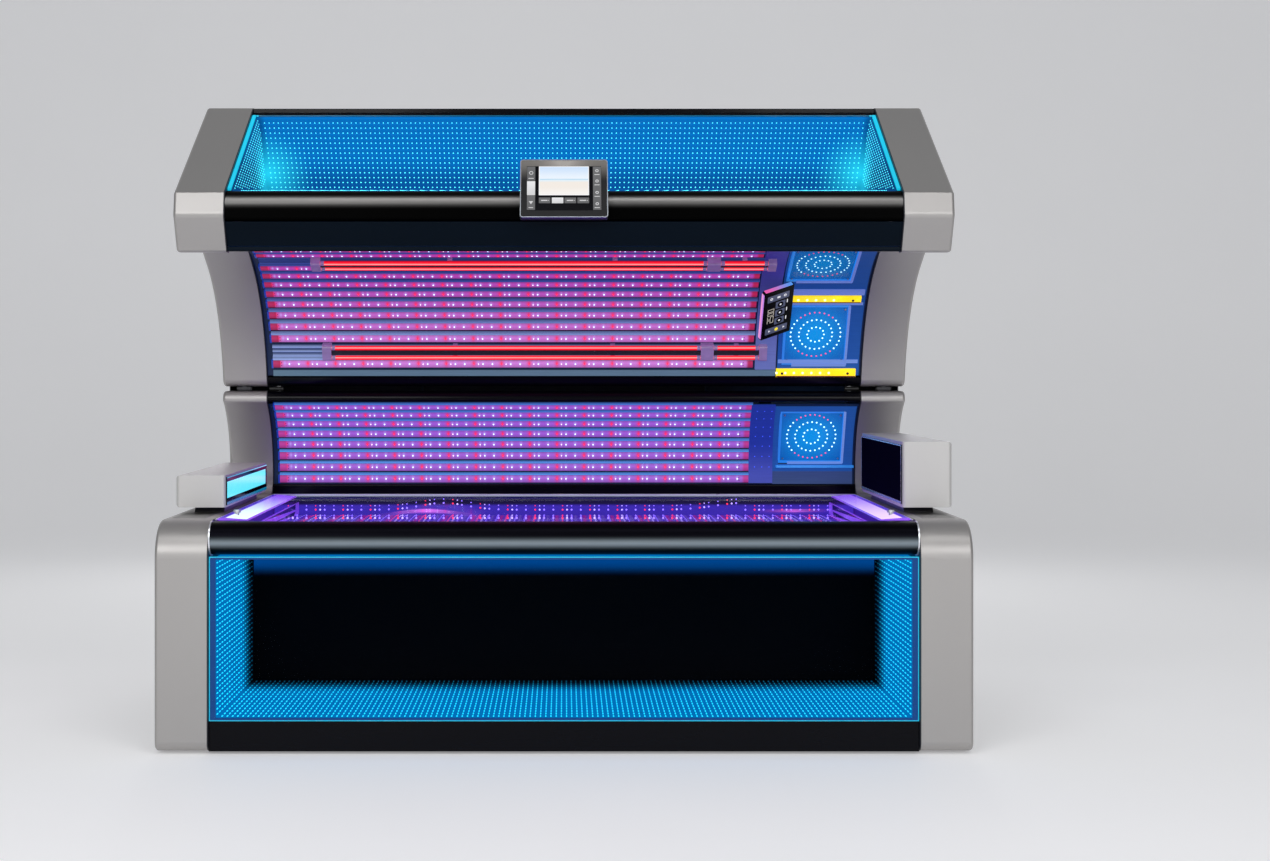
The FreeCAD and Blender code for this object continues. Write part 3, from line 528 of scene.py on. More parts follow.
@dataclass(frozen=True)
class GuideEdge(Finish):
    """Edge of a clear light guide: bright down both sides, dim along the head and foot."""

    colour: Colour = (0.01, 0.60, 0.86)
    half: float = 1.022

    def sockets(self, look: Look) -> Sockets:
        """Sockets of the edge.

        Args:
            look: Material being made.

        Returns:
            Sockets by name.
        """
        x, _, _ = look.place()
        cloud = look.noise(12.0, 2.0)
        side = abs(x) > self.half
        glow = look.mix(side, (0.0, 0.035, 0.10), self.colour)
        return {
            "Base Color": look.scaled(self.colour, 0.2), "Roughness": 0.2,
            "Emission Color": look.scaled(glow, 0.9 + cloud * 0.2), "Emission Strength": 0.9,
            "Specular IOR Level": 0.2,
        }


@dataclass(frozen=True)
class LampLens(Finish):
    """Frosted cover of a lamp bar: a violet band, warm round each red diode and pale round the others."""

    lamp: ClassVar[bool] = True
    low: Colour = (0.60, 0.20, 0.66)
    high: Colour = (0.42, 0.050, 0.42)
    red: Colour = (0.95, 0.01, 0.05)
    pale: Colour = (0.55, 0.42, 1.0)
    ends_colour: Colour = (0.42, 0.015, 0.075)
    period: float = 0.097
    start: float = -0.995
    fade: Pair = (1.14, 1.50)
    ends: Pair = (-1.021, 0.662)
    strength: float = 1.0

    def sockets(self, look: Look) -> Sockets:
        """Sockets of the cover.

        Args:
            look: Material being made.

        Returns:
            Sockets by name.
        """
        x, _, z = look.place()
        _, across = look.sheet()
        step = ((x - self.start) / self.period + 0.25).fraction() * self.period
        offset = 0.25 * self.period
        middle = across.bell(0.5, 0.42)
        reds = step.bell(offset, 0.017) * (middle * 0.8 + 0.2)
        whites = step.bell(offset + 0.016, 0.009).most(step.bell(offset + 0.032, 0.011))
        whites = whites.most(step.bell(offset + 0.065, 0.011)) * middle
        height = z.ramp(*self.fade)
        band = look.mix(height, self.low, self.high)
        band = look.mix(reds, band, self.red)
        band = look.mix(whites * 0.75, band, self.pale)
        caps = (1 - x.ramp(self.ends[0] + 0.024, self.ends[0] + 0.028)).most(
            x.ramp(self.ends[1] - 0.026, self.ends[1] - 0.014))
        band = look.mix(caps * 0.9, band, self.ends_colour)
        soft = across.bell(0.5, 0.75) * 0.6 + 0.4
        grain = look.noise(240.0, 2.0)
        glow = look.scaled(band, soft * (0.92 + grain * 0.16))
        return {
            "Base Color": look.scaled(band, 0.18),
            "Roughness": 0.38 + grain * 0.1,
            "Specular IOR Level": 0.25,
            "Emission Color": glow,
            "Emission Strength": self.strength,
        }


@dataclass(frozen=True)
class TubeGlow(Finish):
    """Lit tube: hottest along one side of its glass."""

    lamp: ClassVar[bool] = True
    side: float
    core: Colour = (1.0, 0.42, 0.42)
    skin: Colour = (0.90, 0.006, 0.02)
    dark: Colour = (0.30, 0.0, 0.008)

    def sockets(self, look: Look) -> Sockets:
        """Sockets of the tube.

        Args:
            look: Material being made.

        Returns:
            Sockets by name.
        """
        _, around = look.sheet()
        ripple = look.noise(9.0, 2.0, (1.0, 0.1, 0.1))
        hot = around.bell(self.side, 0.09) * (0.85 + ripple * 0.4)
        glow = look.mix(around.bell(self.side, 0.40).ramp(0.12, 0.45), self.dark, self.skin)
        glow = look.mix(hot.least(1.0), glow, self.core)
        return {
            "Base Color": (0.20, 0.01, 0.015), "Roughness": 0.08 + ripple * 0.04, "Emission Color": glow,
            "Emission Strength": 1.15, "Specular IOR Level": 0.2,
        }


@dataclass(frozen=True)
class TunnelGlow(Finish):
    """Inside of a light tunnel: lit blue near the glass, black at the far end."""

    lamp: ClassVar[bool] = True
    near: Colour
    far: Colour = (0.0, 0.0, 0.0)
    fade: tuple[float, float] = (-0.30, -0.06)
    flange: float = -0.7155
    flange_colour: Colour = (0.0, 0.040, 0.15)
    strength: float = 1.0

    def sockets(self, look: Look) -> Sockets:
        """Sockets of the tunnel.

        Args:
            look: Material being made.

        Returns:
            Sockets by name.
        """
        _, y, _ = look.place()
        cloud = look.noise(7.0, 2.0)
        deep = 1 - (1 - y.ramp(*self.fade)) ** 1.5
        glow = look.mix(deep, self.near, self.far)
        glow = look.mix(y < self.flange, glow, self.flange_colour)
        return {
            "Base Color": look.mix(deep, (0.0, 0.02, 0.05), (0.001, 0.001, 0.002)),
            "Roughness": 0.6 + cloud * 0.1,
            "Emission Color": look.scaled(glow, 0.92 + cloud * 0.16),
            "Emission Strength": self.strength,
            "Specular IOR Level": 0.03,
        }


@dataclass(frozen=True)
class WedgeGlow(Finish):
    """Inside of the fascia box: banded blue, brightest in its low outer corners."""

    lamp: ClassVar[bool] = True
    blue: Colour = (0.001, 0.170, 0.57)
    low: Colour = (0.001, 0.085, 0.33)
    corner: Colour = (0.02, 0.72, 1.0)
    spot: Triple = (1.015, 0.215, 1.80)
    reach: float = 0.16

    def sockets(self, look: Look) -> Sockets:
        """Sockets of the box.

        Args:
            look: Material being made.

        Returns:
            Sockets by name.
        """
        x, y, z = look.place()
        band = (z / 0.0157).fraction().bell(0.5, 0.45)
        base = look.mix(z.ramp(1.755, 1.86), self.low, self.blue)
        base = look.scaled(base, 1 - abs(x).ramp(1.0, 1.026) * 0.45)
        base = look.scaled(base, 0.9 + band * 0.22)
        dx, dy, dz = abs(x) - self.spot[0], y - self.spot[1], z - self.spot[2]
        distance = (dx * dx + dy * dy * 0.4 + dz * dz) ** 0.5
        glare = (1 - distance / self.reach).most(0.0) ** 1.6
        return {
            "Base Color": (0.0, 0.02, 0.06), "Roughness": 0.5 + band * 0.05,
            "Emission Color": look.mix(glare, base, self.corner), "Emission Strength": 1.05,
            "Specular IOR Level": 0.05,
        }


@dataclass(frozen=True)
class PanelGlow(Finish):
    """Backlit plate, bright in the middle and deeper towards its edges."""

    lamp: ClassVar[bool] = True
    middle: Colour
    rim: Colour
    reach: float = 0.7
    strength: float = 1.0

    def sockets(self, look: Look) -> Sockets:
        """Sockets of the plate.

        Args:
            look: Material being made.

        Returns:
            Sockets by name.
        """
        u, v = look.sheet()
        radius = ((u - 0.5) * (u - 0.5) + (v - 0.5) * (v - 0.5)) ** 0.5
        cloud = look.noise(20.0, 2.0)
        glow = look.mix((radius / self.reach + (cloud - 0.5) * 0.1).ramp(0.0, 1.0), self.middle, self.rim)
        return {
            "Base Color": look.scaled(glow, 0.3), "Roughness": 0.3 + cloud * 0.1,
            "Emission Color": glow, "Emission Strength": self.strength,
        }


@dataclass(frozen=True)
class EdgeGlow(Finish):
    """Glow that fades away downwards from an edge."""

    colour: Colour
    strength: float = 1.0

    def sockets(self, look: Look) -> Sockets:
        """Sockets of the glow.

        Args:
            look: Material being made.

        Returns:
            Sockets by name.
        """
        _, v = look.sheet()
        return {
            "Base Color": (0.0, 0.0, 0.0), "Roughness": 0.6, "Emission Color": self.colour,
            "Emission Strength": self.strength, "Alpha": v.ramp(0.0, 1.0) ** 1.8, "Specular IOR Level": 0.0,
        }


@dataclass(frozen=True)
class LitPlastic(Finish):
    """Translucent plastic with a glow: its own light where it is a lamp strip, elsewhere painted light of the
    lamps beside it, a painted sheen of its neighbours' colours.
    """

    colour: Colour
    # glow: painted light of the lamps nearby, except on a lamp strip
    glow: Colour
    strength: float = 0.5
    scale: float = 6.0

    def sockets(self, look: Look) -> Sockets:
        """Sockets of the plastic.

        Args:
            look: Material being made.

        Returns:
            Sockets by name.
        """
        cloud = look.noise(self.scale, 3.0)
        glow = look.scaled(self.glow, 0.55 + cloud * 0.9)
        return {
            "Base Color": look.scaled(self.colour, 0.8 + cloud * 0.3),
            "Roughness": 0.18 + cloud * 0.1,
            "Emission Color": glow,
            "Emission Strength": self.strength,
            "Coat Weight": 0.4,
            "Coat Roughness": 0.05,
        }


@dataclass(frozen=True)
class LitSheet(Finish):
    """Sheet metal with painted light of the lamps beside it: an emission in its own colours, one colour low
    down and another high up, as the light falls.
    """

    low: Colour
    high: Colour
    fade: Pair = (1.14, 1.50)
    metal: float = 0.4
    roughness: float = 0.45
    painted_wash: float = 1.0
    painted_fold_shade: float = 0.0

    def sockets(self, look: Look) -> Sockets:
        """Sockets of the sheet.

        Args:
            look: Material being made.

        Returns:
            Sockets by name.
        """
        _, _, z = look.place()
        grain = look.noise(14.0, 4.0, (0.6, 30.0, 30.0))
        colour = look.mix(z.ramp(*self.fade), self.low, self.high)
        # painted shade across each fold: lighter along one edge of the strip, darker along the other
        if self.painted_fold_shade:
            colour = look.scaled(colour, 1 - (look.sheet()[1] * 4 - 0.4) * self.painted_fold_shade)
        return {
            "Base Color": look.scaled(colour, 0.7 + grain * 0.3),
            "Roughness": self.roughness + (grain - 0.5) * 0.15,
            "Metallic": self.metal,
            "Emission Color": look.scaled(colour, 0.85 + grain * 0.3),
            "Emission Strength": self.painted_wash,
            "Specular IOR Level": 0.3,
        }


@dataclass(frozen=True)
class ScreenPage(Finish):
    """Lit part of a screen, shaded from its foot to its head."""

    low: Colour
    high: Colour
    strength: float = 1.0

    def sockets(self, look: Look) -> Sockets:
        """Sockets of the page.

        Args:
            look: Material being made.

        Returns:
            Sockets by name.
        """
        _, v = look.sheet()
        cloud = look.noise(35.0, 2.0)
        glow = look.scaled(look.mix(v, self.low, self.high), 0.95 + cloud * 0.1)
        return {
            "Base Color": look.scaled(glow, 0.1), "Roughness": 0.12 + cloud * 0.05, "Emission Color": glow,
            "Emission Strength": self.strength, "Specular IOR Level": 0.3,
        }


@dataclass(frozen=True)
class ShorePage(Finish):
    """Plain picture page of a screen: pale sky, a band of water and sand."""

    sky: Colour = (0.60, 0.74, 0.93)
    haze: Colour = (0.80, 0.87, 0.95)
    water: Colour = (0.42, 0.66, 0.84)
    foam: Colour = (0.74, 0.84, 0.90)
    sand: Colour = (0.86, 0.80, 0.74)

    def sockets(self, look: Look) -> Sockets:
        """Sockets of the page.

        Args:
            look: Material being made.

        Returns:
            Sockets by name.
        """
        _, v = look.sheet()
        ripple = look.noise(40.0, 3.0, (0.3, 1.0, 2.0))
        wave = v + (ripple - 0.5) * 0.02
        shore = look.mix(wave.ramp(0.0, 0.30), (0.90, 0.87, 0.84), self.sand)
        shore = look.mix(wave.ramp(0.44, 0.50), shore, self.foam)
        shore = look.mix(wave.ramp(0.52, 0.55), shore, self.water)
        sky = look.mix(v.ramp(0.56, 1.0), self.haze, self.sky)
        glow = look.mix(v > 0.565, shore, sky)
        return {
            "Base Color": look.scaled(glow, 0.1), "Roughness": 0.12, "Emission Color": glow,
            "Emission Strength": 0.95, "Specular IOR Level": 0.3,
        }


@dataclass(frozen=True)
class BezelMetal(Finish):
    """Dark metal frame of a screen with a painted highlight, brightest along the middle of its head, and a
    faint painted glow.
    """

    bright: Colour = (0.30, 0.28, 0.26)
    dark: Colour = (0.004, 0.004, 0.005)

    def sockets(self, look: Look) -> Sockets:
        """Sockets of the metal.

        Args:
            look: Material being made.

        Returns:
            Sockets by name.
        """
        u, v = look.sheet()
        grain = look.noise(14.0, 3.0, (1.0, 40.0, 40.0))
        # painted highlight: lighter towards the head, most in its middle
        sheen = v.ramp(0.62, 0.98) * (0.45 + u.bell(0.5, 0.42) * 0.8)
        colour = look.mix(sheen.least(1.0), self.dark, self.bright)
        return {
            "Base Color": look.scaled(colour, 0.85 + grain * 0.3), "Roughness": 0.28 + grain * 0.1,
            "Metallic": 0.35, "Emission Color": look.scaled(colour, 0.25), "Emission Strength": 1.0,
            "Specular IOR Level": 0.3,
        }


@dataclass(frozen=True)
class LitEdge(Finish):
    """Polished edge with painted light: a glow that stands in for its neighbours' light and reflections, from
    one colour to another along its length.
    """

    first: Colour
    last: Colour
    strength: float = 0.8

    def sockets(self, look: Look) -> Sockets:
        """Sockets of the edge.

        Args:
            look: Material being made.

        Returns:
            Sockets by name.
        """
        u, v = look.sheet()
        cloud = look.noise(60.0, 2.0)
        glow = look.mix((u + (cloud - 0.5) * 0.1).ramp(0.0, 1.0), self.first, self.last)
        return {
            "Base Color": look.scaled(glow, 0.5), "Roughness": 0.2 + v * 0.05, "Emission Color": glow,
            "Emission Strength": self.strength,
        }


SILVER = SatinCoat("satin_silver_coat", (0.43, 0.415, 0.405), 0.75, 0.42, 0.06)
POD_SILVER = SatinCoat("pale_pod_coat", (0.64, 0.63, 0.62), 0.35, 0.42, 0.04)
LINER = MattePart("liner_sheet", (0.010, 0.011, 0.018), 0.45, 500.0, 0.1)
GLOSS_BLACK = GlossMoulding("gloss_black", (0.002, 0.002, 0.004), 0.16, 0.0, 0.10)
# Bumper and lip carry a painted highlight band at the height where a light reflects on them.
BUMPER_BLACK = PaintedHighlightRoll("bumper_black", 0.6185, 0.026, 0.028, (0.24, 0.29, 0.325), (0.003, 0.003, 0.005))
LIP_BLACK = PaintedHighlightRoll("lip_black", 1.652, 0.034, 0.020, (0.21, 0.205, 0.20), (0.001, 0.001, 0.001))
LIP_NAVY = GlossMoulding("lip_navy", (0.002, 0.006, 0.012), 0.34, 0.0, 0.05)
NAVY_GLOSS = GlossMoulding("navy_glass", (0.003, 0.003, 0.013), 0.16, 0.0, 0.0)
GRAPHITE = GlossMoulding("graphite_case", (0.020, 0.020, 0.022), 0.35, 0.0, 0.5)
FRAME_COAT = MattePart("frame_powder_coat", (0.045, 0.045, 0.05), 0.5, 1200.0, 0.4, 0.2)
RUBBER = MattePart("foot_rubber", (0.025, 0.025, 0.025), 0.85, 700.0, 0.5)
GLASS = ClearSheet("smoked_front_glass", (0.005, 0.015, 0.03), 0.01, 0.08, 0.04, 0.0, 0.0, 0.06)
# Bench acrylic with two painted glints of reflected lamp light.
ACRYLIC = ClearSheet("bench_acrylic_sheet", (0.008, 0.004, 0.07), 0.02, 0.12, 0.03, 0.0, 0.0, 0.10,
                     ((0.74, 0.15, 0.80), (((-0.43, 0.21), (-0.325, 0.11)), ((0.77, 0.17), (0.05, 0.08)))))
COVER = ClearSheet("lamp_cover_plate", (0.02, 0.10, 0.22), 0.04, 0.35)
# Bright trim with a faint painted glow.
CHROME = BrushedMetal("bright_trim", (0.80, 0.82, 0.86), 0.30, (1.0, 8.0, 8.0), (0.05, 0.05, 0.06))
# Each LitSheet finish here glows with painted light of the lamps beside it, one colour low and another high.
REFLECTOR = LitSheet("wall_reflector", (0.17, 0.23, 0.42), (0.026, 0.045, 0.20), (1.12, 1.45), 0.3, 0.45,
                     0.85, 0.9)
TRAY_HOLLOW = LitSheet("tube_tray_hollow", (0.055, 0.085, 0.20), (0.012, 0.010, 0.065), (1.12, 1.40), 0.3,
                       0.45, 0.85)
BASE_REFLECTOR = LitSheet("base_wall_reflector", (0.055, 0.18, 0.47), (0.045, 0.13, 0.40), (0.70, 1.0), 0.3,
                          0.45, 0.85, 0.9)
# Slits and reflector backs with a faint painted blue glow.
DARK_SLIT = BrushedMetal("reflector_slit", (0.012, 0.025, 0.06), 0.45, (1.0, 20.0, 20.0),
                         (0.001, 0.005, 0.020), 0.4)
# Bench tray with a painted violet glow of the bench lamps.
TRAY = BrushedMetal("bench_tray_sheet", (0.03, 0.02, 0.10), 0.35, (1.0, 20.0, 20.0), (0.013, 0.004, 0.13),
                    0.9)
BENCH_BACK = LitSheet("bench_rear_sheet", (0.040, 0.020, 0.36), (0.006, 0.004, 0.035), (0.639, 0.650), 0.2,
                      0.4, 0.95)
BENCH_BLUE = Diode("bench_blue_diode", (0.26, 0.16, 1.0), 2.0)
BENCH_DIM = Diode("bench_dim_diode", (0.5, 0.38, 1.0), 1.7)
LOW_STRIP = LitSheet("canopy_foot_strip", (0.08, 0.14, 0.19), (0.08, 0.14, 0.19), (1.1, 1.5), 0.4, 0.4, 0.8)
# Painted highlight along the acrylic's rear edge.
REAR_EDGE_HIGHLIGHT = LitEdge("acrylic_rear_edge_highlight", (0.42, 0.46, 0.60), (0.42, 0.46, 0.60), 0.8)
PARTITION = LitSheet("blue_partition", (0.11, 0.14, 0.36), (0.030, 0.025, 0.20), (1.15, 1.50), 0.4, 0.42,
                     0.75)
BASE_PARTITION = LitSheet("base_partition_sheet", (0.045, 0.06, 0.30), (0.012, 0.028, 0.24), (0.72, 0.88),
                          0.4, 0.4, 0.9)
BAY = LitSheet("face_bay", (0.012, 0.065, 0.26), (0.008, 0.045, 0.20), (1.1, 1.5), 0.5, 0.4, 0.85)
LEDGE = LitSheet("face_bay_ledge", (0.13, 0.22, 0.50), (0.10, 0.15, 0.44), (1.1, 1.5), 0.5, 0.4, 0.9)
LOW_BAY = LitSheet("low_bay_sheet", (0.028, 0.050, 0.14), (0.028, 0.050, 0.14), (0.7, 0.8), 0.5, 0.4, 0.9)
# Face-lamp trays with a painted blue glow of their diodes.
LAMP_TRAY = BrushedMetal("face_lamp_tray", (0.08, 0.30, 0.66), 0.32, (4.0, 20.0, 20.0), (0.008, 0.13, 0.42),
                         0.5)
STEEL = BrushedMetal("plain_steel", (0.45, 0.45, 0.46), 0.32, (20.0, 20.0, 2.0))
REAR = MattePart("rear_sheet", (0.07, 0.07, 0.075), 0.48, 1100.0, 0.3, 0.2)
FAN_PLASTIC = MattePart("fan_plastic", (0.022, 0.022, 0.024), 0.42, 600.0, 0.15)
GLAND = MattePart("gland_nylon", (0.015, 0.015, 0.015), 0.5, 600.0, 0.2)
CASE = MattePart("driver_case", (0.28, 0.29, 0.30), 0.45, 800.0, 0.2, 0.4)
STALK = MattePart("stalk_dark", (0.04, 0.04, 0.045), 0.35, 800.0, 0.1)
# Tube holders glow with painted light of the tubes.
HOLDER = LitPlastic("tube_holder", (0.34, 0.27, 0.42), (0.10, 0.05, 0.16), 0.7, 30.0)
YELLOW = LitPlastic("yellow_strip", (0.95, 0.62, 0.01), (1.0, 0.74, 0.001), 0.92, 12.0)
PARTITION_DOT = Diode("partition_dot", (0.05, 0.10, 0.85), 1.0)
# Painted shadow under the yellow strips: a brown sheet with a faint glow.
PAINTED_SHADOW_STRIP = LitPlastic("yellow_strip_painted_shadow", (0.10, 0.02, 0.0), (0.10, 0.022, 0.0), 0.6, 12.0)
# Bench-end mouldings glow with painted light of the bench lamps.
END_MOULD = LitPlastic("bench_end_mould", (0.30, 0.14, 0.62), (0.22, 0.06, 0.80), 0.8, 9.0)
# Painted sheen on the sloped bench-end faces, and a blue stripe glowing with painted light.
END_SHEEN = (LitEdge("bench_end_sheen_left", (0.80, 0.92, 1.0), (0.24, 0.09, 0.85), 0.95),
             LitEdge("bench_end_sheen_right", (0.26, 0.12, 0.85), (0.86, 0.66, 1.0), 0.95))
END_STRIPE = LitEdge("bench_end_stripe", (0.03, 0.02, 0.50), (0.05, 0.03, 0.60), 0.8)
LENS = LampLens("lamp_bar_cover")
BASE_LENS = LampLens("base_bar_cover", (0.36, 0.125, 0.64), (0.34, 0.10, 0.64),
                     ends_colour=(0.46, 0.045, 0.28),
                     fade=(0.72, 1.0))
BENCH_LENS = LampLens("bench_bar_cover", (0.075, 0.022, 0.62), (0.075, 0.022, 0.62), ends=(-1.1, 1.1))
WHITE_DIODE = Diode("warm_white_diode", (1.0, 0.70, 0.85), 2.0)
BLUE_DIODE = Diode("blue_white_diode", (0.50, 0.64, 1.0), 2.4)
RED_DIODE = Diode("red_diode", (1.0, 0.03, 0.08), 1.5)
CYAN_DIODE = Diode("cyan_dot", (0.10, 0.93, 1.0), 1.75)
TUNNEL_DASH = Diode("cyan_dash", (0.02, 0.70, 1.0), 1.05, (-0.30, -0.10))
ICE_DIODE = Diode("ice_dot", (0.55, 0.93, 1.0), 2.2)
ROSE_DIODE = Diode("rose_dot", (1.0, 0.07, 0.16), 1.3)
GOLD_DIODE = Diode("gold_dot", (1.0, 0.93, 0.35), 2.0)
LOW_TUBE = TubeGlow("low_lit_tube", 0.41)
HIGH_TUBE = TubeGlow("high_lit_tube", 0.38)
GUIDE = Diode("light_guide_edge", (0.01, 0.42, 0.62), 0.62)
FASCIA_GUIDE = GuideEdge("fascia_guide_edge")
TUNNEL = TunnelGlow("front_tunnel", (0.0, 0.155, 0.455))
WEDGE = WedgeGlow("fascia_box")
TOP_GLOW = EdgeGlow("tunnel_top_glow", (0.0, 0.055, 0.25), 1.0)
FACE_GLOW = PanelGlow("face_lamp_glow", (0.0, 0.28, 0.76), (0.004, 0.10, 0.42), 0.75)
# Bar sockets glow with painted blue light of the lamps.
SOCKET = LitPlastic("bar_socket", (0.01, 0.02, 0.12), (0.004, 0.03, 0.32), 0.9, 40.0)
# Border printed on the glass, with a painted blue glow.
MASK = LitSheet("printed_border_painted_glow", (0.0, 0.032, 0.14), (0.0, 0.032, 0.14), (0.1, 0.5), 0.0, 0.5, 1.0)
SHORE = ShorePage("picture_page")
PAGE_EDGE = ScreenPage("page_edge", (0.93, 0.93, 0.95), (0.93, 0.93, 0.95), 0.95)
KEY_DARK = ScreenPage("dark_key", (0.115, 0.115, 0.12), (0.14, 0.14, 0.145), 0.95)
KEY_PALE = ScreenPage("pale_key", (0.62, 0.62, 0.63), (0.78, 0.78, 0.80), 0.95)
MARK = ScreenPage("key_mark", (0.55, 0.55, 0.56), (0.62, 0.62, 0.63), 1.0)
BEZEL = BezelMetal("screen_bezel")
SCREEN_RIM = BrushedMetal("screen_rim", (0.28, 0.30, 0.33), 0.30, (1.0, 8.0, 8.0))
TABLET_KEY = ScreenPage("tablet_key", (0.065, 0.075, 0.135), (0.085, 0.095, 0.165), 0.95)
TABLET_MARK = ScreenPage("tablet_mark", (0.72, 0.72, 0.78), (0.80, 0.80, 0.85), 1.0)
DIGIT = ScreenPage("tablet_digit", (0.42, 0.38, 0.34), (0.48, 0.44, 0.40), 1.0)
YELLOW_MARK = ScreenPage("tablet_lamp_mark", (1.0, 0.80, 0.05), (1.0, 0.80, 0.05), 1.0)
# Tablet edges glowing with painted reflections of the lamps.
PINK_EDGE = LitEdge("tablet_side_edge", (0.95, 0.36, 0.62), (0.48, 0.22, 0.72), 0.85)
VIOLET_EDGE = LitEdge("tablet_top_edge", (0.85, 0.12, 0.40), (0.10, 0.32, 0.80), 0.85)
POD_PAGE = ScreenPage("pod_page", (0.12, 0.80, 1.0), (0.20, 0.84, 1.0), 1.0)
POD_BLACK = GlossMoulding("pod_screen_black", (0.002, 0.003, 0.005), 0.10, 0.0, 0.04)
# Pod screen frames glowing with painted light.
POD_EDGE = LitEdge("pod_lit_edge", (0.03, 0.30, 0.44), (0.20, 0.62, 0.80), 0.9)
POD_TEAL = LitEdge("pod_teal_frame", (0.0, 0.10, 0.18), (0.004, 0.16, 0.26), 1.0)
# Pod rims with a painted glow of the lamps round them.
POD_RIM = BrushedMetal("pod_pale_rim", (0.55, 0.50, 0.52), 0.25, (1.0, 8.0, 8.0), (0.06, 0.05, 0.07))
POD_FOOT_RIM = BrushedMetal("pod_foot_rim", (0.22, 0.30, 0.45), 0.22, (1.0, 8.0, 8.0), (0.03, 0.055, 0.12))
CHEEK_PLATE = BrushedMetal("cheek_plate", (0.24, 0.235, 0.23), 0.38, (1.0, 20.0, 20.0))


class Paints:
    """Materials made from finishes, each once."""

    made: dict[Finish, bpy.types.Material] = {}

    @classmethod
    def of(cls, finish: Finish) -> bpy.types.Material:
        """Material of a finish."""
        if finish not in cls.made:
            cls.made[finish] = finish.material()
        return cls.made[finish]


def dress(names: Iterable[str], finish: Finish) -> None:
    """Give carried-over nodes a finish.

    Args:
        names: Node names.
        finish: Their finish.
    """
    for name in names:
        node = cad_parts[name]
        node.data.materials.clear()
        node.data.materials.append(Paints.of(finish))
        log.info("finish %s on %s", Paints.of(finish).name, name)


# ---------------------------------------------------------------- repeated forms
class Patterns:
    """Geometry-node trees that repeat a small form."""

    trees: dict[Repeat, bpy.types.NodeTree] = {}

    @staticmethod
    def _start(kind: Repeat, inputs: dict[str, str]) -> tuple[bpy.types.NodeTree, bpy.types.Node]:
        """Open a tree with named inputs.

        Args:
            kind: The pattern.
            inputs: Socket kind for each input name.

        Returns:
            The tree and its Group Input node.
        """
        tree = bpy.data.node_groups.new(kind.value, "GeometryNodeTree")
        tree.interface.new_socket("Form", in_out="INPUT", socket_type="NodeSocketGeometry")
        for name, socket in {**inputs, "Finish": "Material"}.items():
            tree.interface.new_socket(name, in_out="INPUT", socket_type=f"NodeSocket{socket}")
        tree.interface.new_socket("Result", in_out="OUTPUT", socket_type="NodeSocketGeometry")
        return tree, tree.nodes.new("NodeGroupInput")

    @staticmethod
    def _sum(tree: bpy.types.NodeTree, kind: str, operation: str, first: Any, second: Any) -> Any:
        """Add one maths node on fields and return its output.

        Args:
            tree: Tree it goes into.
            kind: Type of the node.
            operation: What it works out.
            first: First value or socket.
            second: Second value or socket, or None.

        Returns:
            Its output.
        """
        node = tree.nodes.new(kind)
        node.operation = operation
        for socket, value in zip(node.inputs, (first, second)):
            if isinstance(value, bpy.types.NodeSocket):
                tree.links.new(value, socket)
            elif value is not None:
                socket.default_value = value
        return node.outputs[0]

    @staticmethod
    def _finish(tree: bpy.types.NodeTree, given: bpy.types.Node, spots: Any, turn: Any = None,
                pick: Any = None) -> None:
        """Put the form on every spot, realise the copies and set their material.

        Args:
            tree: Tree to end.
            given: Its inputs.
            spots: Points that take a copy.
            turn: Turn of each copy.
            pick: 1 where a copy is kept.
        """
        copies = tree.nodes.new("GeometryNodeInstanceOnPoints")
        real = tree.nodes.new("GeometryNodeRealizeInstances")
        paint = tree.nodes.new("GeometryNodeSetMaterial")
        result = tree.nodes.new("NodeGroupOutput")
        links = [(spots, copies.inputs["Points"]), (given.outputs["Form"], copies.inputs["Instance"]),
                 (copies.outputs[0], real.inputs[0]), (real.outputs[0], paint.inputs[0]),
                 (given.outputs["Finish"], paint.inputs["Material"]), (paint.outputs[0], result.inputs[0])]
        if turn is not None:
            links.append((turn, copies.inputs["Rotation"]))
        if pick is not None:
            links.append((pick, copies.inputs["Selection"]))
        for source, target in links:
            tree.links.new(source, target)

    @classmethod
    def _row(cls) -> bpy.types.NodeTree:
        """Tree for a straight row: Count copies from Start, each a Step on.

        Returns:
            The tree.
        """
        tree, given = cls._start(Repeat.ROW, {"Count": "Int", "Start": "Vector", "Step": "Vector"})
        line = tree.nodes.new("GeometryNodeMeshLine")
        for name, socket in (("Count", "Count"), ("Start", "Start Location"), ("Step", "Offset")):
            tree.links.new(given.outputs[name], line.inputs[socket])
        cls._finish(tree, given, line.outputs[0])
        return tree

    @classmethod
    def _swing(cls, tree: bpy.types.NodeTree, given: bpy.types.Node, angle: Any, axes: Sequence[str]) -> Any:
        """Position on a circle in the plane of two axes.

        Args:
            tree: Tree it goes into.
            given: Its inputs.
            angle: Angle of each copy.
            axes: The two axes.

        Returns:
            The position.
        """
        spot = tree.nodes.new("ShaderNodeCombineXYZ")
        for axis, operation in zip(axes, ("COSINE", "SINE")):
            part = cls._sum(tree, "ShaderNodeMath", operation, angle, None)
            part = cls._sum(tree, "ShaderNodeMath", "MULTIPLY", part, given.outputs["Radius"])
            tree.links.new(part, spot.inputs[axis])
        return cls._sum(tree, "ShaderNodeVectorMath", "ADD", spot.outputs[0], given.outputs["Centre"])

    @classmethod
    def _kept(cls, tree: bpy.types.NodeTree, given: bpy.types.Node, index: Any) -> Any:
        """1 on every row but the two that are left out.

        Args:
            tree: Tree it goes into.
            given: Its inputs.
            index: Number of each copy.

        Returns:
            The choice.
        """
        kept = None
        for name in ("Skip One", "Skip Two"):
            gap = cls._sum(tree, "ShaderNodeMath", "SUBTRACT", index, given.outputs[name])
            gap = cls._sum(tree, "ShaderNodeMath", "ABSOLUTE", gap, None)
            gap = cls._sum(tree, "ShaderNodeMath", "GREATER_THAN", gap, 0.5)
            kept = gap if kept is None else cls._sum(tree, "ShaderNodeMath", "MULTIPLY", kept, gap)
        return kept

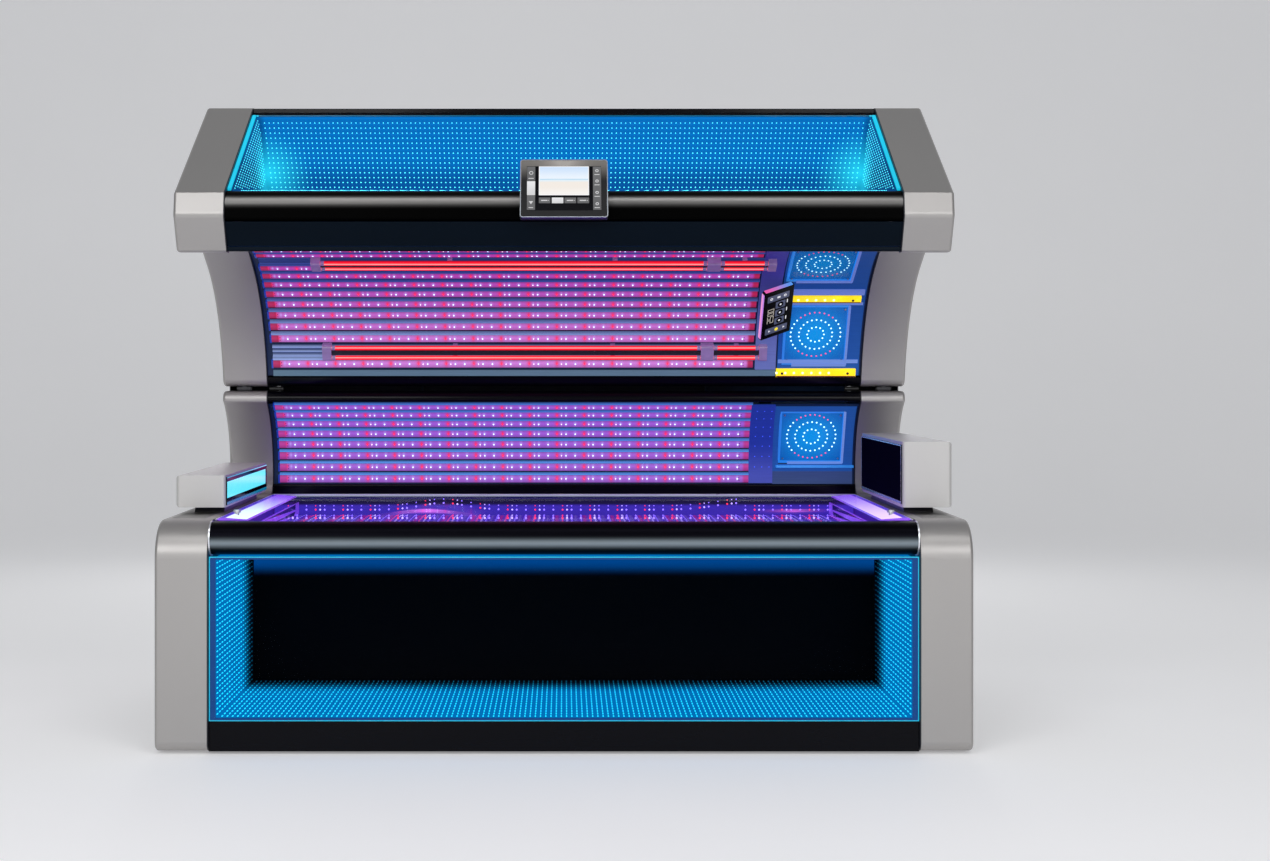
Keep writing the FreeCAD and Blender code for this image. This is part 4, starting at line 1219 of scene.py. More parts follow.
    @classmethod
    def _round(cls, kind: Repeat) -> bpy.types.NodeTree:
        """Tree for copies round a circle: in a plate's own plane, or turned with an arc wall.

        Args:
            kind: Ring or arc.

        Returns:
            The tree.
        """
        sizes = {"Count": "Int", "First Angle": "Float", "Step Angle": "Float", "Radius": "Float",
                 "Centre": "Vector", "Skip One": "Int", "Skip Two": "Int"}
        tree, given = cls._start(kind, sizes)
        line = tree.nodes.new("GeometryNodeMeshLine")
        tree.links.new(given.outputs["Count"], line.inputs["Count"])
        index = tree.nodes.new("GeometryNodeInputIndex").outputs[0]
        steps = cls._sum(tree, "ShaderNodeMath", "MULTIPLY", index, given.outputs["Step Angle"])
        angle = cls._sum(tree, "ShaderNodeMath", "ADD", steps, given.outputs["First Angle"])
        move = tree.nodes.new("GeometryNodeSetPosition")
        tree.links.new(line.outputs[0], move.inputs[0])
        axes = ("X", "Z") if kind is Repeat.RING else ("Y", "Z")
        tree.links.new(cls._swing(tree, given, angle, axes), move.inputs["Position"])
        if kind is Repeat.RING:
            cls._finish(tree, given, move.outputs[0])
            return tree
        turn = tree.nodes.new("ShaderNodeCombineXYZ")
        tree.links.new(angle, turn.inputs["X"])
        cls._finish(tree, given, move.outputs[0], turn.outputs[0], cls._kept(tree, given, index))
        return tree

    @classmethod
    def repeat(cls, form: bpy.types.Object, kind: Repeat, finish: Finish, **sizes: Any) -> bpy.types.Object:
        """Repeat a form and make the result a plain mesh.

        Args:
            form: Object whose mesh is repeated, at the origin.
            kind: The pattern.
            finish: Finish of the result.
            **sizes: Values of the tree's named inputs, with _ for a space.

        Returns:
            The same object with its new mesh.
        """
        if kind not in cls.trees:
            cls.trees[kind] = cls._row() if kind is Repeat.ROW else cls._round(kind)
        tree = cls.trees[kind]
        modifier = form.modifiers.new(kind.value, "NODES")
        modifier.node_group = tree
        values = {name.replace("_", " "): value for name, value in sizes.items()}
        values["Finish"] = Paints.of(finish)
        for item in tree.interface.items_tree:
            if item.in_out == "INPUT" and item.name in values:
                modifier[item.identifier] = values[item.name]
        view = bpy.context.evaluated_depsgraph_get()
        mesh = bpy.data.meshes.new_from_object(form.evaluated_get(view), depsgraph=view)
        form.modifiers.remove(modifier)
        form.data = mesh
        return form

    @classmethod
    def row(cls, form: bpy.types.Object, finish: Finish, count: int, step: Sequence[float],
            start: Sequence[float] = ORIGIN) -> bpy.types.Object:
        """Repeat a form along a straight row.

        Args:
            form: Object whose mesh is repeated.
            finish: Finish of the result.
            count: Number of copies.
            step: From one copy to the next, in millimetres.
            start: From the form's own place to the first copy, in millimetres.

        Returns:
            The same object with its new mesh.
        """
        return cls.repeat(form, Repeat.ROW, finish, Count=count, Start=Vector(start) * MM,
                          Step=Vector(step) * MM)


# ---------------------------------------------------------------- solid forms
def soft_corners(x0: float, x1: float, z0: float, z1: float, radius: float, steps: int = 4) -> list[Pair]:
    """Outline of a rectangle with round corners.

    Args:
        x0: Left side.
        x1: Right side.
        z0: Foot.
        z1: Head.
        radius: Radius of the corners.
        steps: Steps of each corner.

    Returns:
        Corners anticlockwise.
    """
    middles = ((x1 - radius, z1 - radius, 0), (x0 + radius, z1 - radius, 90), (x0 + radius, z0 + radius, 180),
               (x1 - radius, z0 + radius, 270))
    outline = []
    for x, z, first in middles:
        for k in range(steps + 1):
            turn = math.radians(first + 90 * k / steps)
            outline.append((x + radius * math.cos(turn), z + radius * math.sin(turn)))
    return outline


def disc(x: float, z: float, radius: float, sides: int = 16) -> list[Pair]:
    """Outline of a disc."""
    turns = [2 * math.pi * k / sides for k in range(sides)]
    return [(x + radius * math.cos(a), z + radius * math.sin(a)) for a in turns]


def facing(origin: Triple, along: Triple, up: Triple) -> Matrix:
    """Place of a flat face.

    Args:
        origin: The face's own origin in the bed's millimetres.
        along: Direction of its own x.
        up: Direction of its own z.

    Returns:
        From the face's millimetres, seen from its own -y side, to the bed's metres.
    """
    x, z = Vector(along).normalized(), Vector(up).normalized()
    return BED @ Matrix.Translation(origin) @ Matrix((x, z.cross(x), z)).transposed().to_4x4()


class Shape:
    """Closed solids gathered into one piece, with corners in millimetres as x, depth and height."""

    def __init__(self) -> None:
        """Start with nothing."""
        self.mesh = bmesh.new()
        self.chart = self.mesh.loops.layers.uv.new("UVMap")

    def _face(self, corners: Sequence[bmesh.types.BMVert], chart: Sequence[Pair]) -> None:
        """Add a face with its UV coordinates."""
        face = self.mesh.faces.new(corners)
        for loop, place in zip(face.loops, chart):
            loop[self.chart].uv = place

    def prism(self, section: Sequence[Pair], x0: float, x1: float) -> "Shape":
        """Add a prism along x from its (depth, height) section.

        Args:
            section: Corners in order.
            x0: Left end.
            x1: Right end.

        Returns:
            This shape.
        """
        ends = [[self.mesh.verts.new((x, d, z)) for d, z in section] for x in (x0, x1)]
        count = len(section)
        for i in range(count):
            j = (i + 1) % count
            low, high = i / count, (i + 1) / count
            self._face((ends[0][i], ends[0][j], ends[1][j], ends[1][i]),
                       ((x0 * MM, low), (x0 * MM, high), (x1 * MM, high), (x1 * MM, low)))
        for end in ends:
            self._face(end, [(0.0, 0.0)] * count)
        return self

    def box(self, x0: float, x1: float, d0: float, d1: float, z0: float, z1: float) -> "Shape":
        """Add a box."""
        return self.prism(((d0, z0), (d0, z1), (d1, z1), (d1, z0)), x0, x1)

    def plate(self, x0: float, x1: float, d0: float, d1: float, z0: float, z1: float) -> "Shape":
        """Add a thin upright plate whose front carries UV coordinates from 0 to 1."""
        return self.slab(((x0, z0), (x1, z0), (x1, z1), (x0, z1)), d0, d1)

    def slab(self, outline: Sequence[Pair], y0: float, y1: float) -> "Shape":
        """Add a flat slab, with UV coordinates from 0 to 1 over its outline.

        Args:
            outline: (x, z) corners in order.
            y0: Its front.
            y1: Its back.

        Returns:
            This shape.
        """
        return self.frame(outline, [], y0, y1)

    def frame(self, outer: Sequence[Pair], inner: Sequence[Pair], y0: float, y1: float) -> "Shape":
        """Add a flat frame between two outlines with as many corners, or a slab without the inner one.

        Args:
            outer: Outer (x, z) corners.
            inner: Inner corners in the same order.
            y0: Its front.
            y1: Its back.

        Returns:
            This shape.
        """
        low = [min(c[i] for c in outer) for i in (0, 1)]
        size = [max(c[i] for c in outer) - low[i] for i in (0, 1)]
        chart = [((x - low[0]) / size[0], (z - low[1]) / size[1]) for x, z in (*outer, *inner)]
        front, back = ([self.mesh.verts.new((x, y, z)) for x, z in (*outer, *inner)] for y in (y0, y1))
        count = len(outer)
        for start in range(0, len(front), count):
            for i in range(count):
                a, b = start + i, start + (i + 1) % count
                self._face((front[a], front[b], back[b], back[a]), (chart[a], chart[b], chart[b], chart[a]))
        for face in (front, back):
            if not inner:
                self._face(face, chart)
                continue
            for i in range(count):
                a, b = i, (i + 1) % count
                corners = (a, b, b + count, a + count)
                self._face([face[c] for c in corners], [chart[c] for c in corners])
        return self

    def wedge(self, corners: Sequence[Triple], thick: Triple) -> "Shape":
        """Add a flat sheet of any outline in space.

        Args:
            corners: Corners of one face in the bed's millimetres.
            thick: From that face to the other.

        Returns:
            This shape.
        """
        near = [self.mesh.verts.new(corner) for corner in corners]
        far = [self.mesh.verts.new(Vector(corner) + Vector(thick)) for corner in corners]
        chart = [(0.0, 0.0)] * 4
        for face in (near, far[::-1]):
            self._face(face, chart)
        for i, first in enumerate(near):
            j = (i + 1) % len(near)
            self._face((near[j], first, far[i], far[j]), chart)
        return self

    def bow(self, wall: "ArcWall", start: float, stop: float, inside: float, outside: float, x0: float,
            x1: float) -> "Shape":
        """Add a curved sheet that lies on an arc wall.

        Args:
            wall: The wall.
            start: First angle in degrees.
            stop: Last angle.
            inside: Offset of its lit face from the wall's.
            outside: Offset of its back.
            x0: Left end.
            x1: Right end.

        Returns:
            This shape.
        """
        count = max(2, int((stop - start) / 2))
        angles = [start + (stop - start) * k / count for k in range(count + 1)]
        section = [wall.spot(a, inside) for a in angles] + [wall.spot(a, outside) for a in reversed(angles)]
        return self.prism(section, x0, x1)

    def turned(self, profile: Sequence[Pair], sides: int, centre: Triple = ORIGIN,
               axis: Axis = Axis.DEPTH, stretch: Pair = (1.0, 1.0)) -> "Shape":
        """Add a turned solid.

        Args:
            profile: (along the axis, radius) pairs.
            sides: Number of sides.
            centre: Where the axis starts.
            axis: Direction of the axis.
            stretch: Scale of the section in its two directions.

        Returns:
            This shape.
        """
        rings = []
        for along, radius in profile:
            ring = []
            for k in range(sides):
                turn = 2 * math.pi * (k + 0.5) / sides
                pair = [radius * math.cos(turn) * stretch[0], radius * math.sin(turn) * stretch[1]]
                pair.insert(axis.value, along)
                ring.append(self.mesh.verts.new(Vector(pair) + Vector(centre)))
            rings.append(ring)
        for (a0, _), (a1, _), low, high in zip(profile, profile[1:], rings, rings[1:]):
            for k in range(sides):
                j = (k + 1) % sides
                v0, v1 = k / sides, (k + 1) / sides
                self._face((low[k], low[j], high[j], high[k]),
                           ((a0 * MM, v0), (a0 * MM, v1), (a1 * MM, v1), (a1 * MM, v0)))
        for ring in (rings[0], rings[-1]):
            self._face(ring, [(0.0, 0.0)] * sides)
        return self

    def object(self, name: str, matrix: Matrix = BED, bevel: float = 0.0,
               segments: int = 2) -> bpy.types.Object:
        """Make the object, with its place in its mesh.

        Args:
            name: Name of the piece.
            matrix: From this shape's millimetres to the bed's metres.
            bevel: Rounding of sharp edges, in millimetres.
            segments: Steps of the rounding.

        Returns:
            The object.
        """
        if bevel > 0:
            sharp = [e for e in self.mesh.edges if len(e.link_faces) == 2 and e.calc_face_angle() > 0.5]
            bmesh.ops.bevel(self.mesh, geom=sharp, offset=bevel, segments=segments, profile=0.5,
                            affect="EDGES", clamp_overlap=True)
        bmesh.ops.recalc_face_normals(self.mesh, faces=self.mesh.faces)
        data = bpy.data.meshes.new(name)
        self.mesh.to_mesh(data)
        self.mesh.free()
        data.transform(matrix)
        data.shade_smooth()
        data.set_sharp_from_angle(angle=math.radians(35))
        made = bpy.data.objects.new(name, data)
        bpy.context.scene.collection.objects.link(made)
        return made


def fit(piece: bpy.types.Object, finish: Optional[Finish], body: Body,
        replaces: Sequence[str] = ()) -> bpy.types.Object:
    """Paint a piece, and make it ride.

    Args:
        piece: The object, in place.
        finish: Its finish, or None to keep its materials.
        body: Body it rides on.
        replaces: Nodes that it stands for.

    Returns:
        The piece.
    """
    if finish is not None:
        piece.data.materials.clear()
        piece.data.materials.append(Paints.of(finish))
    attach(piece, body.value)
    if replaces:
        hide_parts(*replaces)
    log.info("piece %s rides on %s, %d faces", piece.name, body.value, len(piece.data.polygons))
    return piece


@dataclass(frozen=True)
class ArcWall:
    """Reflector wall that curves round the user: centre depth, centre height and radius of its lit face."""

    depth: float
    height: float
    radius: float

    def spot(self, angle: float, offset: float = 0.0) -> Pair:
        """Depth and height at an angle in degrees; offset is away from the user."""
        turn, reach = math.radians(angle), self.radius + offset
        return self.depth + reach * math.cos(turn), self.height + reach * math.sin(turn)

    def matrix(self, angle: float, x: float = 0.0, offset: float = 0.0) -> Matrix:
        """From a piece's own millimetres, its back along +depth, to its place on the wall."""
        depth, height = self.spot(angle, offset)
        return BED @ Matrix.Translation((x, depth, height)) @ Matrix.Rotation(math.radians(angle), 4, "X")

    def centre(self) -> Vector:
        """Centre in the bed's metres."""
        return BED @ Vector((0.0, self.depth, self.height))

    def step(self, pitch: float) -> float:
        """Angle in degrees that a pitch in millimetres takes."""
        return math.degrees(pitch / self.radius)


CANOPY_WALL = ArcWall(552.0, 961.0, 571.0)
BASE_WALL = ArcWall(951.0, 757.0, 298.0)


# ---------------------------------------------------------------- lamp walls
@dataclass
class LampWall:
    """Rows of lamp bars on an arc wall, with reflector strips between them."""

    name: str
    body: Body
    wall: ArcWall
    rows: int
    first: float
    pitch: float
    skip: tuple[int, int] = (-1, -1)
    left: float = -1021.0
    right: float = 662.0
    period: float = 97.0
    start: float = -995.0
    node: str = ""
    lens: LampLens = LENS
    sheet: LitSheet = REFLECTOR
    cover: tuple[Pair, ...] = ((11.5, -9.0), (0.6, -13.0), (0.0, -11.5), (-0.9, -6.0), (-1.2, 0.0),
                               (-0.9, 6.0), (0.0, 11.5), (0.6, 13.0), (11.5, 9.0))
    rows_of_diodes: tuple[tuple[Diode, float, float], ...] = (
        (RED_DIODE, 0.0, 2.8), (WHITE_DIODE, 16.0, 2.0), (BLUE_DIODE, 32.0, 2.6), (BLUE_DIODE, 65.0, 2.7))

    def _round(self, form: bpy.types.Object, finish: Finish, spread: float = 0.0) -> bpy.types.Object:
        """Repeat a form on every row of the wall.

        Args:
            form: Form of one row.
            finish: Its finish.
            spread: Degrees beyond the first row.

        Returns:
            The repeated form.
        """
        return Patterns.repeat(
            form, Repeat.ARC, finish, Count=self.rows, First_Angle=math.radians(self.first + spread),
            Step_Angle=self.pitch / self.wall.radius, Radius=self.wall.radius * MM, Centre=self.wall.centre(),
            Skip_One=self.skip[0], Skip_Two=self.skip[1])

    def bars(self) -> None:
        """Frosted covers of the bars, crowned, on a folded channel."""
        form = Shape().prism(self.cover, self.left, self.right).object(f"{self.name}_lamp_bars", LOCAL)
        fit(self._round(form, self.lens), None, self.body, [self.node])

    def strips(self) -> None:
        """Reflector strip above every bar, lit with painted light of the lamps, and a dark slit over it."""
        gap = self.pitch - 26.0
        end, low, high = 13.0 + 0.68 * gap, 13.0 + 0.70 * gap, 12.4 + gap
        strip = ((1.5, 13.6), (5.0, end), (10.5, end), (10.5, 13.6))
        slit = ((9.0, low), (9.0, high), (11.0, high), (11.0, low))
        for label, section, finish in (("reflector_strips", strip, self.sheet), ("slits", slit, DARK_SLIT)):
            form = Shape().prism(section, self.left, self.right + 4)
            form = form.object(f"{self.name}_{label}", LOCAL)
            fit(self._round(form, finish), None, self.body)

    def diodes(self) -> None:
        """Diodes along every bar, four to a period."""
        count = int((self.right - 60 - self.start) / self.period) + 1
        for place, (finish, shift, radius) in enumerate(self.rows_of_diodes):
            dome = ((-2.1, radius * 0.55), (-1.6, radius * 0.9), (-0.8, radius))
            form = Shape().turned(dome, 8).object(f"{self.name}_diodes_{place}", LOCAL)
            hidden = self.period if shift < 20 else 0.0
            form = Patterns.row(form, finish, count - bool(hidden), (self.period, 0.0, 0.0),
                                (self.start + shift + hidden, 0.0, 0.0))
            fit(self._round(form, finish), None, self.body)

    def sockets(self) -> None:
        """Blue-edged sockets that hold the bars' ends, glowing with painted light, and two screws beside
        each.
        """
        shape = Shape().box(self.left - 5, self.left + 1.5, -1.8, 11.5, -15.0, 15.0)
        form = shape.object(f"{self.name}_bar_sockets", LOCAL, 0.8)
        fit(self._round(form, SOCKET), None, self.body)
        screws = Shape()
        for x in (self.left + 31, self.right - 34):
            for height in (-5.0, 5.0):
                screws.turned(((-1.7, 1.1), (-1.3, 1.7), (-0.6, 1.7)), 8, (x, 0.0, height))
        form = screws.object(f"{self.name}_bar_screws", LOCAL)
        fit(self._round(form, GLAND), None, self.body)

    def build(self) -> None:
        """Make the wall's pieces."""
        self.bars()
        self.strips()
        self.diodes()
        self.sockets()


@dataclass
class TubePair:
    """Two lit tubes side by side on the canopy wall, with a dark spine between them."""

    name: str
    angle: float
    finish: TubeGlow
    wall: ArcWall = CANOPY_WALL
    radius: float = 8.0
    apart: float = 38.0
    proud: float = 14.0
    runs: tuple[Pair, ...] = ((-811.0, 477.0), (522.0, 680.0))

    def build(self) -> None:
        """Make the tubes, their caps and what lies behind them."""
        glass, caps, spine = Shape(), Shape(), Shape()
        matrix = self.wall.matrix(self.angle)
        reach, half = self.wall.radius - self.proud, self.apart / 2 / self.wall.radius
        depth = reach * math.cos(half) - self.wall.radius
        for x0, x1 in self.runs:
            spine.box(x0 - 2, x1 + 2, depth - 3.0, depth + 6.0, -7.5, 7.5)
            for side in (-1, 1):
                centre = (0.0, depth, side * reach * math.sin(half))
                glass.turned(((x0, self.radius), (x1, self.radius)), 24, centre, Axis.X)
                for end, inward in ((x0, 1), (x1, -1)):
                    profile = [(end, 6.6), (end + inward * 1.0, 8.3), (end + inward * 11.0, 8.5),
                               (end + inward * 13.0, 8.05)]
                    caps.turned(profile, 20, centre, Axis.X)
        trays, hollow = Shape(), Shape().box(-1020, 742, 7.0, 11.0, -22.0, 22.0)
        for low, high in ((-21.5, -11.0), (-3.0, 3.5), (12.0, 21.5)):
            trays.prism(((3.0, low), (5.0, high), (9.0, high), (9.0, low)), -1020, 742)
        label = f"{self.name}_tube"
        fit(glass.object(f"{label}_glass", matrix), self.finish, Body.CANOPY,
            ["canopy_tube_lamps"])
        fit(caps.object(f"{label}_caps", matrix), HOLDER, Body.CANOPY)
        fit(spine.object(f"{label}_spine", matrix, 2.0), GLAND, Body.CANOPY)
        fit(trays.object(f"{label}_tray", matrix), REFLECTOR, Body.CANOPY)
        fit(hollow.object(f"{label}_hollow", matrix), TRAY_HOLLOW, Body.CANOPY)


@dataclass
class FaceLamp:
    """Lamp for the face: three rings of dots behind a clear plate in a shallow tray."""

    name: str
    body: Body
    wall: ArcWall
    angle: float
    x: float
    half_x: float
    half_z: float
    rings: tuple[tuple[float, int], ...] = ((29.0, 12), (58.0, 22))
    outer: float = 87.0
    quarters: tuple[tuple[str, Diode, float], ...] = (
        ("ring_side_right", ICE_DIODE, -39.4), ("ring_side_left", ICE_DIODE, 140.6),
        ("ring_top", ROSE_DIODE, 50.6), ("ring_foot", ROSE_DIODE, 230.6))

    def _dots(self, label: str, finish: Finish, radius: float, count: int, first: float, step: float,
              matrix: Matrix) -> None:
        """One ring or part of a ring of dots.

        Args:
            label: Ending of the piece's name.
            finish: Finish of the dots.
            radius: Radius of the ring.
            count: Number of dots.
            first: Angle of the first, in degrees.
            step: Degrees from dot to dot.
            matrix: Place of the lamp.
        """
        form = Shape().turned(((-1.4, 1.6), (-1.0, 2.6), (0.2, 2.9)), 8).object(f"{self.name}_{label}", LOCAL)
        form = Patterns.repeat(form, Repeat.RING, finish, Count=count, First_Angle=math.radians(first),
                               Step_Angle=math.radians(step), Radius=radius * MM, Centre=(0.0, 0.0045, 0.0))
        form.data.transform(matrix @ LOCAL.inverted())
        fit(form, None, self.body)

    def build(self) -> None:
        """Make the lamp."""
        matrix = self.wall.matrix(self.angle, self.x, -3.0)
        inner_x, inner_z = self.half_x - 7.6, self.half_z - 7.6
        glow = Shape().plate(-inner_x, inner_x, 4.6, 5.7, -inner_z, inner_z)
        fit(glow.object(f"{self.name}_glow", matrix), FACE_GLOW, self.body)
        for index, (radius, count) in enumerate(self.rings):
            self._dots(f"ring_{index}", ICE_DIODE, radius, count, 90.0, 360.0 / count, matrix)
        for label, finish, first in self.quarters:
            self._dots(label, finish, self.outer, 8, first, 11.25, matrix)
        cover = Shape().box(-inner_x + 2, inner_x - 2, 0.4, 2.2, -inner_z + 2, inner_z - 2)
        fit(cover.object(f"{self.name}_cover", matrix, 0.5), COVER, self.body)
        bolts, head = Shape(), ((-2.6, 2.0), (-2.2, 3.6), (0.6, 4.0))
        for x in (9 - inner_x, inner_x - 9):
            for z in (9 - inner_z, inner_z - 9):
                bolts.turned(head, 12, (x, 0.0, z))
        fit(bolts.object(f"{self.name}_bolts", matrix), STEEL, self.body)
        shelf = Shape().box(-self.half_x + 34, self.half_x, -6.0, -1.8, -self.half_z - 5, -self.half_z + 6)
        shelf.box(self.half_x - 6, self.half_x + 2, -6.0, -1.8, -self.half_z, self.half_z)
        fit(shelf.object(f"{self.name}_shelf", matrix, 1.2), LEDGE, self.body)


@dataclass
class YellowStrip:
    """Short yellow lamp strip with seven diodes and two screws."""

    name: str
    x0: float
    x1: float
    angle: float
    tall: float
    screws: tuple[float, ...]
    first: float = 94.0
    pitch: float = 30.6

    def build(self) -> None:
        """Make the diodes, the screws and a painted shadow along the strip's foot; the strip itself is a
        carried-over node.
        """
        matrix = CANOPY_WALL.matrix(self.angle, 0.0, 6.0)
        form = Shape().turned(((-8.0, 2.2), (-7.4, 4.0), (-5.8, 4.6)), 10)
        form = form.object(f"{self.name}_diodes", LOCAL)
        start = self.x1 - self.first - 6 * self.pitch
        form = Patterns.row(form, GOLD_DIODE, 7, (self.pitch, 0.0, 0.0), (start, 0.0, 0.0))
        form.data.transform(matrix @ LOCAL.inverted())
        fit(form, None, Body.CANOPY)
        # painted shadow: a brown sheet along the strip's foot
        foot = Shape().box(self.x0 + 1, self.x1 - 1, -6.6, -5.8, -self.tall / 2 + 0.2, -self.tall / 2 + 4.2)
        fit(foot.object(f"{self.name}_foot", matrix), PAINTED_SHADOW_STRIP, Body.CANOPY)
        screws = Shape()
        for x in self.screws:
            screws.turned(((-8.4, 2.8), (-7.6, 4.4), (-5.8, 4.8)), 12, (x, 0.0, -2.0))
        fit(screws.object(f"{self.name}_screws", matrix), GLAND, Body.CANOPY)


def partition_dots() -> None:
    """Faint blue dots on the base partition, three to a row."""
    form = Shape().turned(((-0.9, 1.0), (-0.6, 1.9), (0.4, 2.2)), 8).object("partition_dots", LOCAL)
    form = Patterns.row(form, PARTITION_DOT, 3, (26.0, 0.0, 0.0), (684.0, 0.0, 0.0))
    form = Patterns.repeat(
        form, Repeat.ARC, PARTITION_DOT, Count=7, First_Angle=math.radians(4.0), Step_Angle=math.radians(7.4),
        Radius=BASE_WALL.radius * MM, Centre=BASE_WALL.centre(), Skip_One=-1, Skip_Two=-1)
    fit(form, None, Body.BASE)


@dataclass
class FaceBay:
    """Blue-lit bay at the head end that the face lamps hang in, with its cross ledges."""

    name: str
    body: Body
    wall: ArcWall
    start: float
    stop: float
    ledges: tuple[Pair, ...]
    lamps: tuple[FaceLamp, ...]
    left: float = 749.0
    right: float = 1036.0
    sheet: Pair = (9.2, 11.7)
    ledge: Pair = (3.0, 9.0)

    def build(self) -> None:
        """Make the bay's sheet, open where its lamps hang, the lamps and the ledges."""
        back, angle = Shape(), self.start
        for lamp in self.lamps:
            lamp.build()
            half = math.degrees(math.asin((lamp.half_z - 1) / self.wall.radius))
            low, high = max(lamp.angle - half, angle), min(lamp.angle + half, self.stop)
            if low - angle > 0.3:
                back.bow(self.wall, angle, low, *self.sheet, self.left, self.right)
            for x0, x1 in ((self.left, lamp.x - lamp.half_x + 1), (lamp.x + lamp.half_x - 1, self.right)):
                back.bow(self.wall, low, high, *self.sheet, x0, x1)
            angle = high
        if self.stop - angle > 0.3:
            back.bow(self.wall, angle, self.stop, *self.sheet, self.left, self.right)
        fit(back.object(f"{self.name}_sheet"), BAY, self.body)
        ledges = Shape()
        for low, high in self.ledges:
            ledges.bow(self.wall, low, high, *self.ledge, self.left + 2, self.right - 6)
        if self.ledges:
            fit(ledges.object(f"{self.name}_ledges", BED, 1.2), LEDGE, self.body)


# ---------------------------------------------------------------- light tunnels
@dataclass
class FrontTunnel:
    """Light tunnel behind the front window, with dashes of light on its walls and floor."""

    half: float = 1023.0
    low: float = 106.0
    high: float = 570.0
    pitch: float = 15.4
    deep_pitch: float = 41.0
    near: float = 48.0
    columns: int = 16

    def _spread(self, form: bpy.types.Object, count: int, along: Triple, start: Triple) -> None:
        """Repeat a dash along the wall's edge, then towards the back."""
        form = Patterns.row(form, TUNNEL_DASH, count, Vector(along) * self.pitch)
        form = Patterns.row(form, TUNNEL_DASH, self.columns, (0.0, self.deep_pitch, 0.0), start)
        fit(form, None, Body.BASE)

    def dashes(self) -> None:
        """Dashes on both side walls and on the floor."""
        rows = int((self.high - self.low - 8) / self.pitch) + 1
        for name, x in (("left", -self.half), ("right", self.half)):
            dash = Shape().turned(((-0.7, 2.1), (0.7, 1.7)), 8, ORIGIN, Axis.X, (6.0, 1.0))
            start = (x, self.near, self.low + 6)
            self._spread(dash.object(f"tunnel_dashes_{name}"), rows, (0, 0, 1), start)
        count = int(2 * self.half / self.pitch)
        dash = Shape().turned(((-0.7, 2.1), (0.7, 1.7)), 8, ORIGIN, Axis.HEIGHT, (1.0, 6.0))
        start = (-self.pitch * (count - 1) / 2, self.near, self.low)
        self._spread(dash.object("tunnel_dashes_floor"), count, (1, 0, 0), start)

    def build(self) -> None:
        """Make the tunnel's lights and the border printed on its glass."""
        dress(["front_light_box"], TUNNEL)
        dress(["front_light_guides"], GUIDE)
        dress(["front_glass", "fascia_glass"], GLASS)
        self.dashes()
        glow = Shape().plate(-912, 912, 25.4, 26.0, 514, 571)
        fit(glow.object("tunnel_top_glow"), TOP_GLOW, Body.BASE)
        # border printed on the glass, glowing with painted light
        border = Shape().frame(soft_corners(-1038.6, 1038.6, 99.6, 576.6, 3.0),
                               soft_corners(-1022, 1022, 106, 571, 3.0), 12.3, 12.9)
        fit(border.object("front_glass_border"), MASK, Body.BASE)


@dataclass
class Fascia:
    """Sloping light box over the lip: dotted back, floor and side walls."""

    back_low: Pair = (1004.5, 1752.0)
    back_high: Pair = (829.0, 1960.5)
    floor_low: Pair = (330.0, 1683.2)
    floor_high: Pair = (992.0, 1742.3)
    floor_rows: int = 22
    rows: int = 14
    pitch: float = 15.4
    half: float = 1025.6
    reach: float = 1016.0
    margin: float = 8.0
    bead: tuple[Pair, ...] = ((-1.8, 1.1), (-1.2, 1.9), (-0.4, 2.2))
    dome: tuple[Pair, ...] = ((0.0, 2.1), (0.8, 1.9), (1.4, 1.2), (1.6, 0.5))

    def plane_dots(self, name: str, low: Pair, high: Pair, rows: int, pitch: float) -> None:
        """Dots on one plane of the box that runs from side to side.

        Args:
            name: Name of the piece.
            low: Depth and height of its first edge.
            high: Depth and height of its last edge.
            rows: Number of rows.
            pitch: Spacing along a row.
        """
        run = Vector(high) - Vector(low)
        along = run.normalized()
        step = run / (rows - 0.5)
        first = Vector(low) + along * self.margin
        count = int(2 * self.reach / pitch) + 1
        form = Shape().turned(self.bead, 8).object(name, LOCAL)
        form = Patterns.row(form, CYAN_DIODE, count, (pitch, 0.0, 0.0),
                            (-pitch * (count - 1) / 2, 0.0, 0.0))
        form.data.transform(Matrix.Rotation(math.atan2(along.y, along.x) - math.pi / 2, 4, "X"))
        form = Patterns.row(form, CYAN_DIODE, rows, (0.0, step.x, step.y),
                            (0.0, first.x - MIDDLE_DEPTH, first.y))
        fit(form, None, Body.CANOPY)

    def side_dots(self) -> None:
        """Dots on both side walls, in columns parallel to the glass."""
        glass = Vector((504.0, 309.0)).normalized()
        down = Vector((glass.y, -glass.x))
        for name, x in (("left", -self.half), ("right", self.half)):
            shape = Shape()
            for column in range(13):
                for k in range(34):
                    spot = Vector((322.0, 1690.0)) + down * (14 + 19.5 * column) + glass * (12 + 17.0 * k)
                    if self._inside(spot):
                        dome = [(math.copysign(along, -x), radius) for along, radius in self.dome]
                        shape.turned(dome, 8, (x, spot.x, spot.y), Axis.X)
            fit(shape.object(f"fascia_side_dots_{name}"), CYAN_DIODE, Body.CANOPY)

    def _inside(self, spot: Vector) -> bool:
        """Whether a point lies on the side wall, clear of its edges.

        Args:
            spot: Depth and height.

        Returns:
            True where a dot fits.
        """
        corners = [Vector(c) for c in ((318, 1682), (790, 1972), (828, 1960), (1006, 1750))]
        for first, second in zip(corners, corners[1:] + corners[:1]):
            edge = (second - first).normalized()
            away = spot - first
            if edge.x * away.y - edge.y * away.x > -5.0:
                return False
        return True

    def build(self) -> None:
        """Make the fascia's lights."""
        dress(["fascia_light_box"], WEDGE)
        dress(["fascia_light_guides"], FASCIA_GUIDE)
        self.plane_dots("fascia_back_dots", self.back_low, self.back_high, self.rows, self.pitch)
        self.plane_dots("fascia_floor_dots", self.floor_low, self.floor_high, self.floor_rows, 2 * self.pitch)
        self.side_dots()


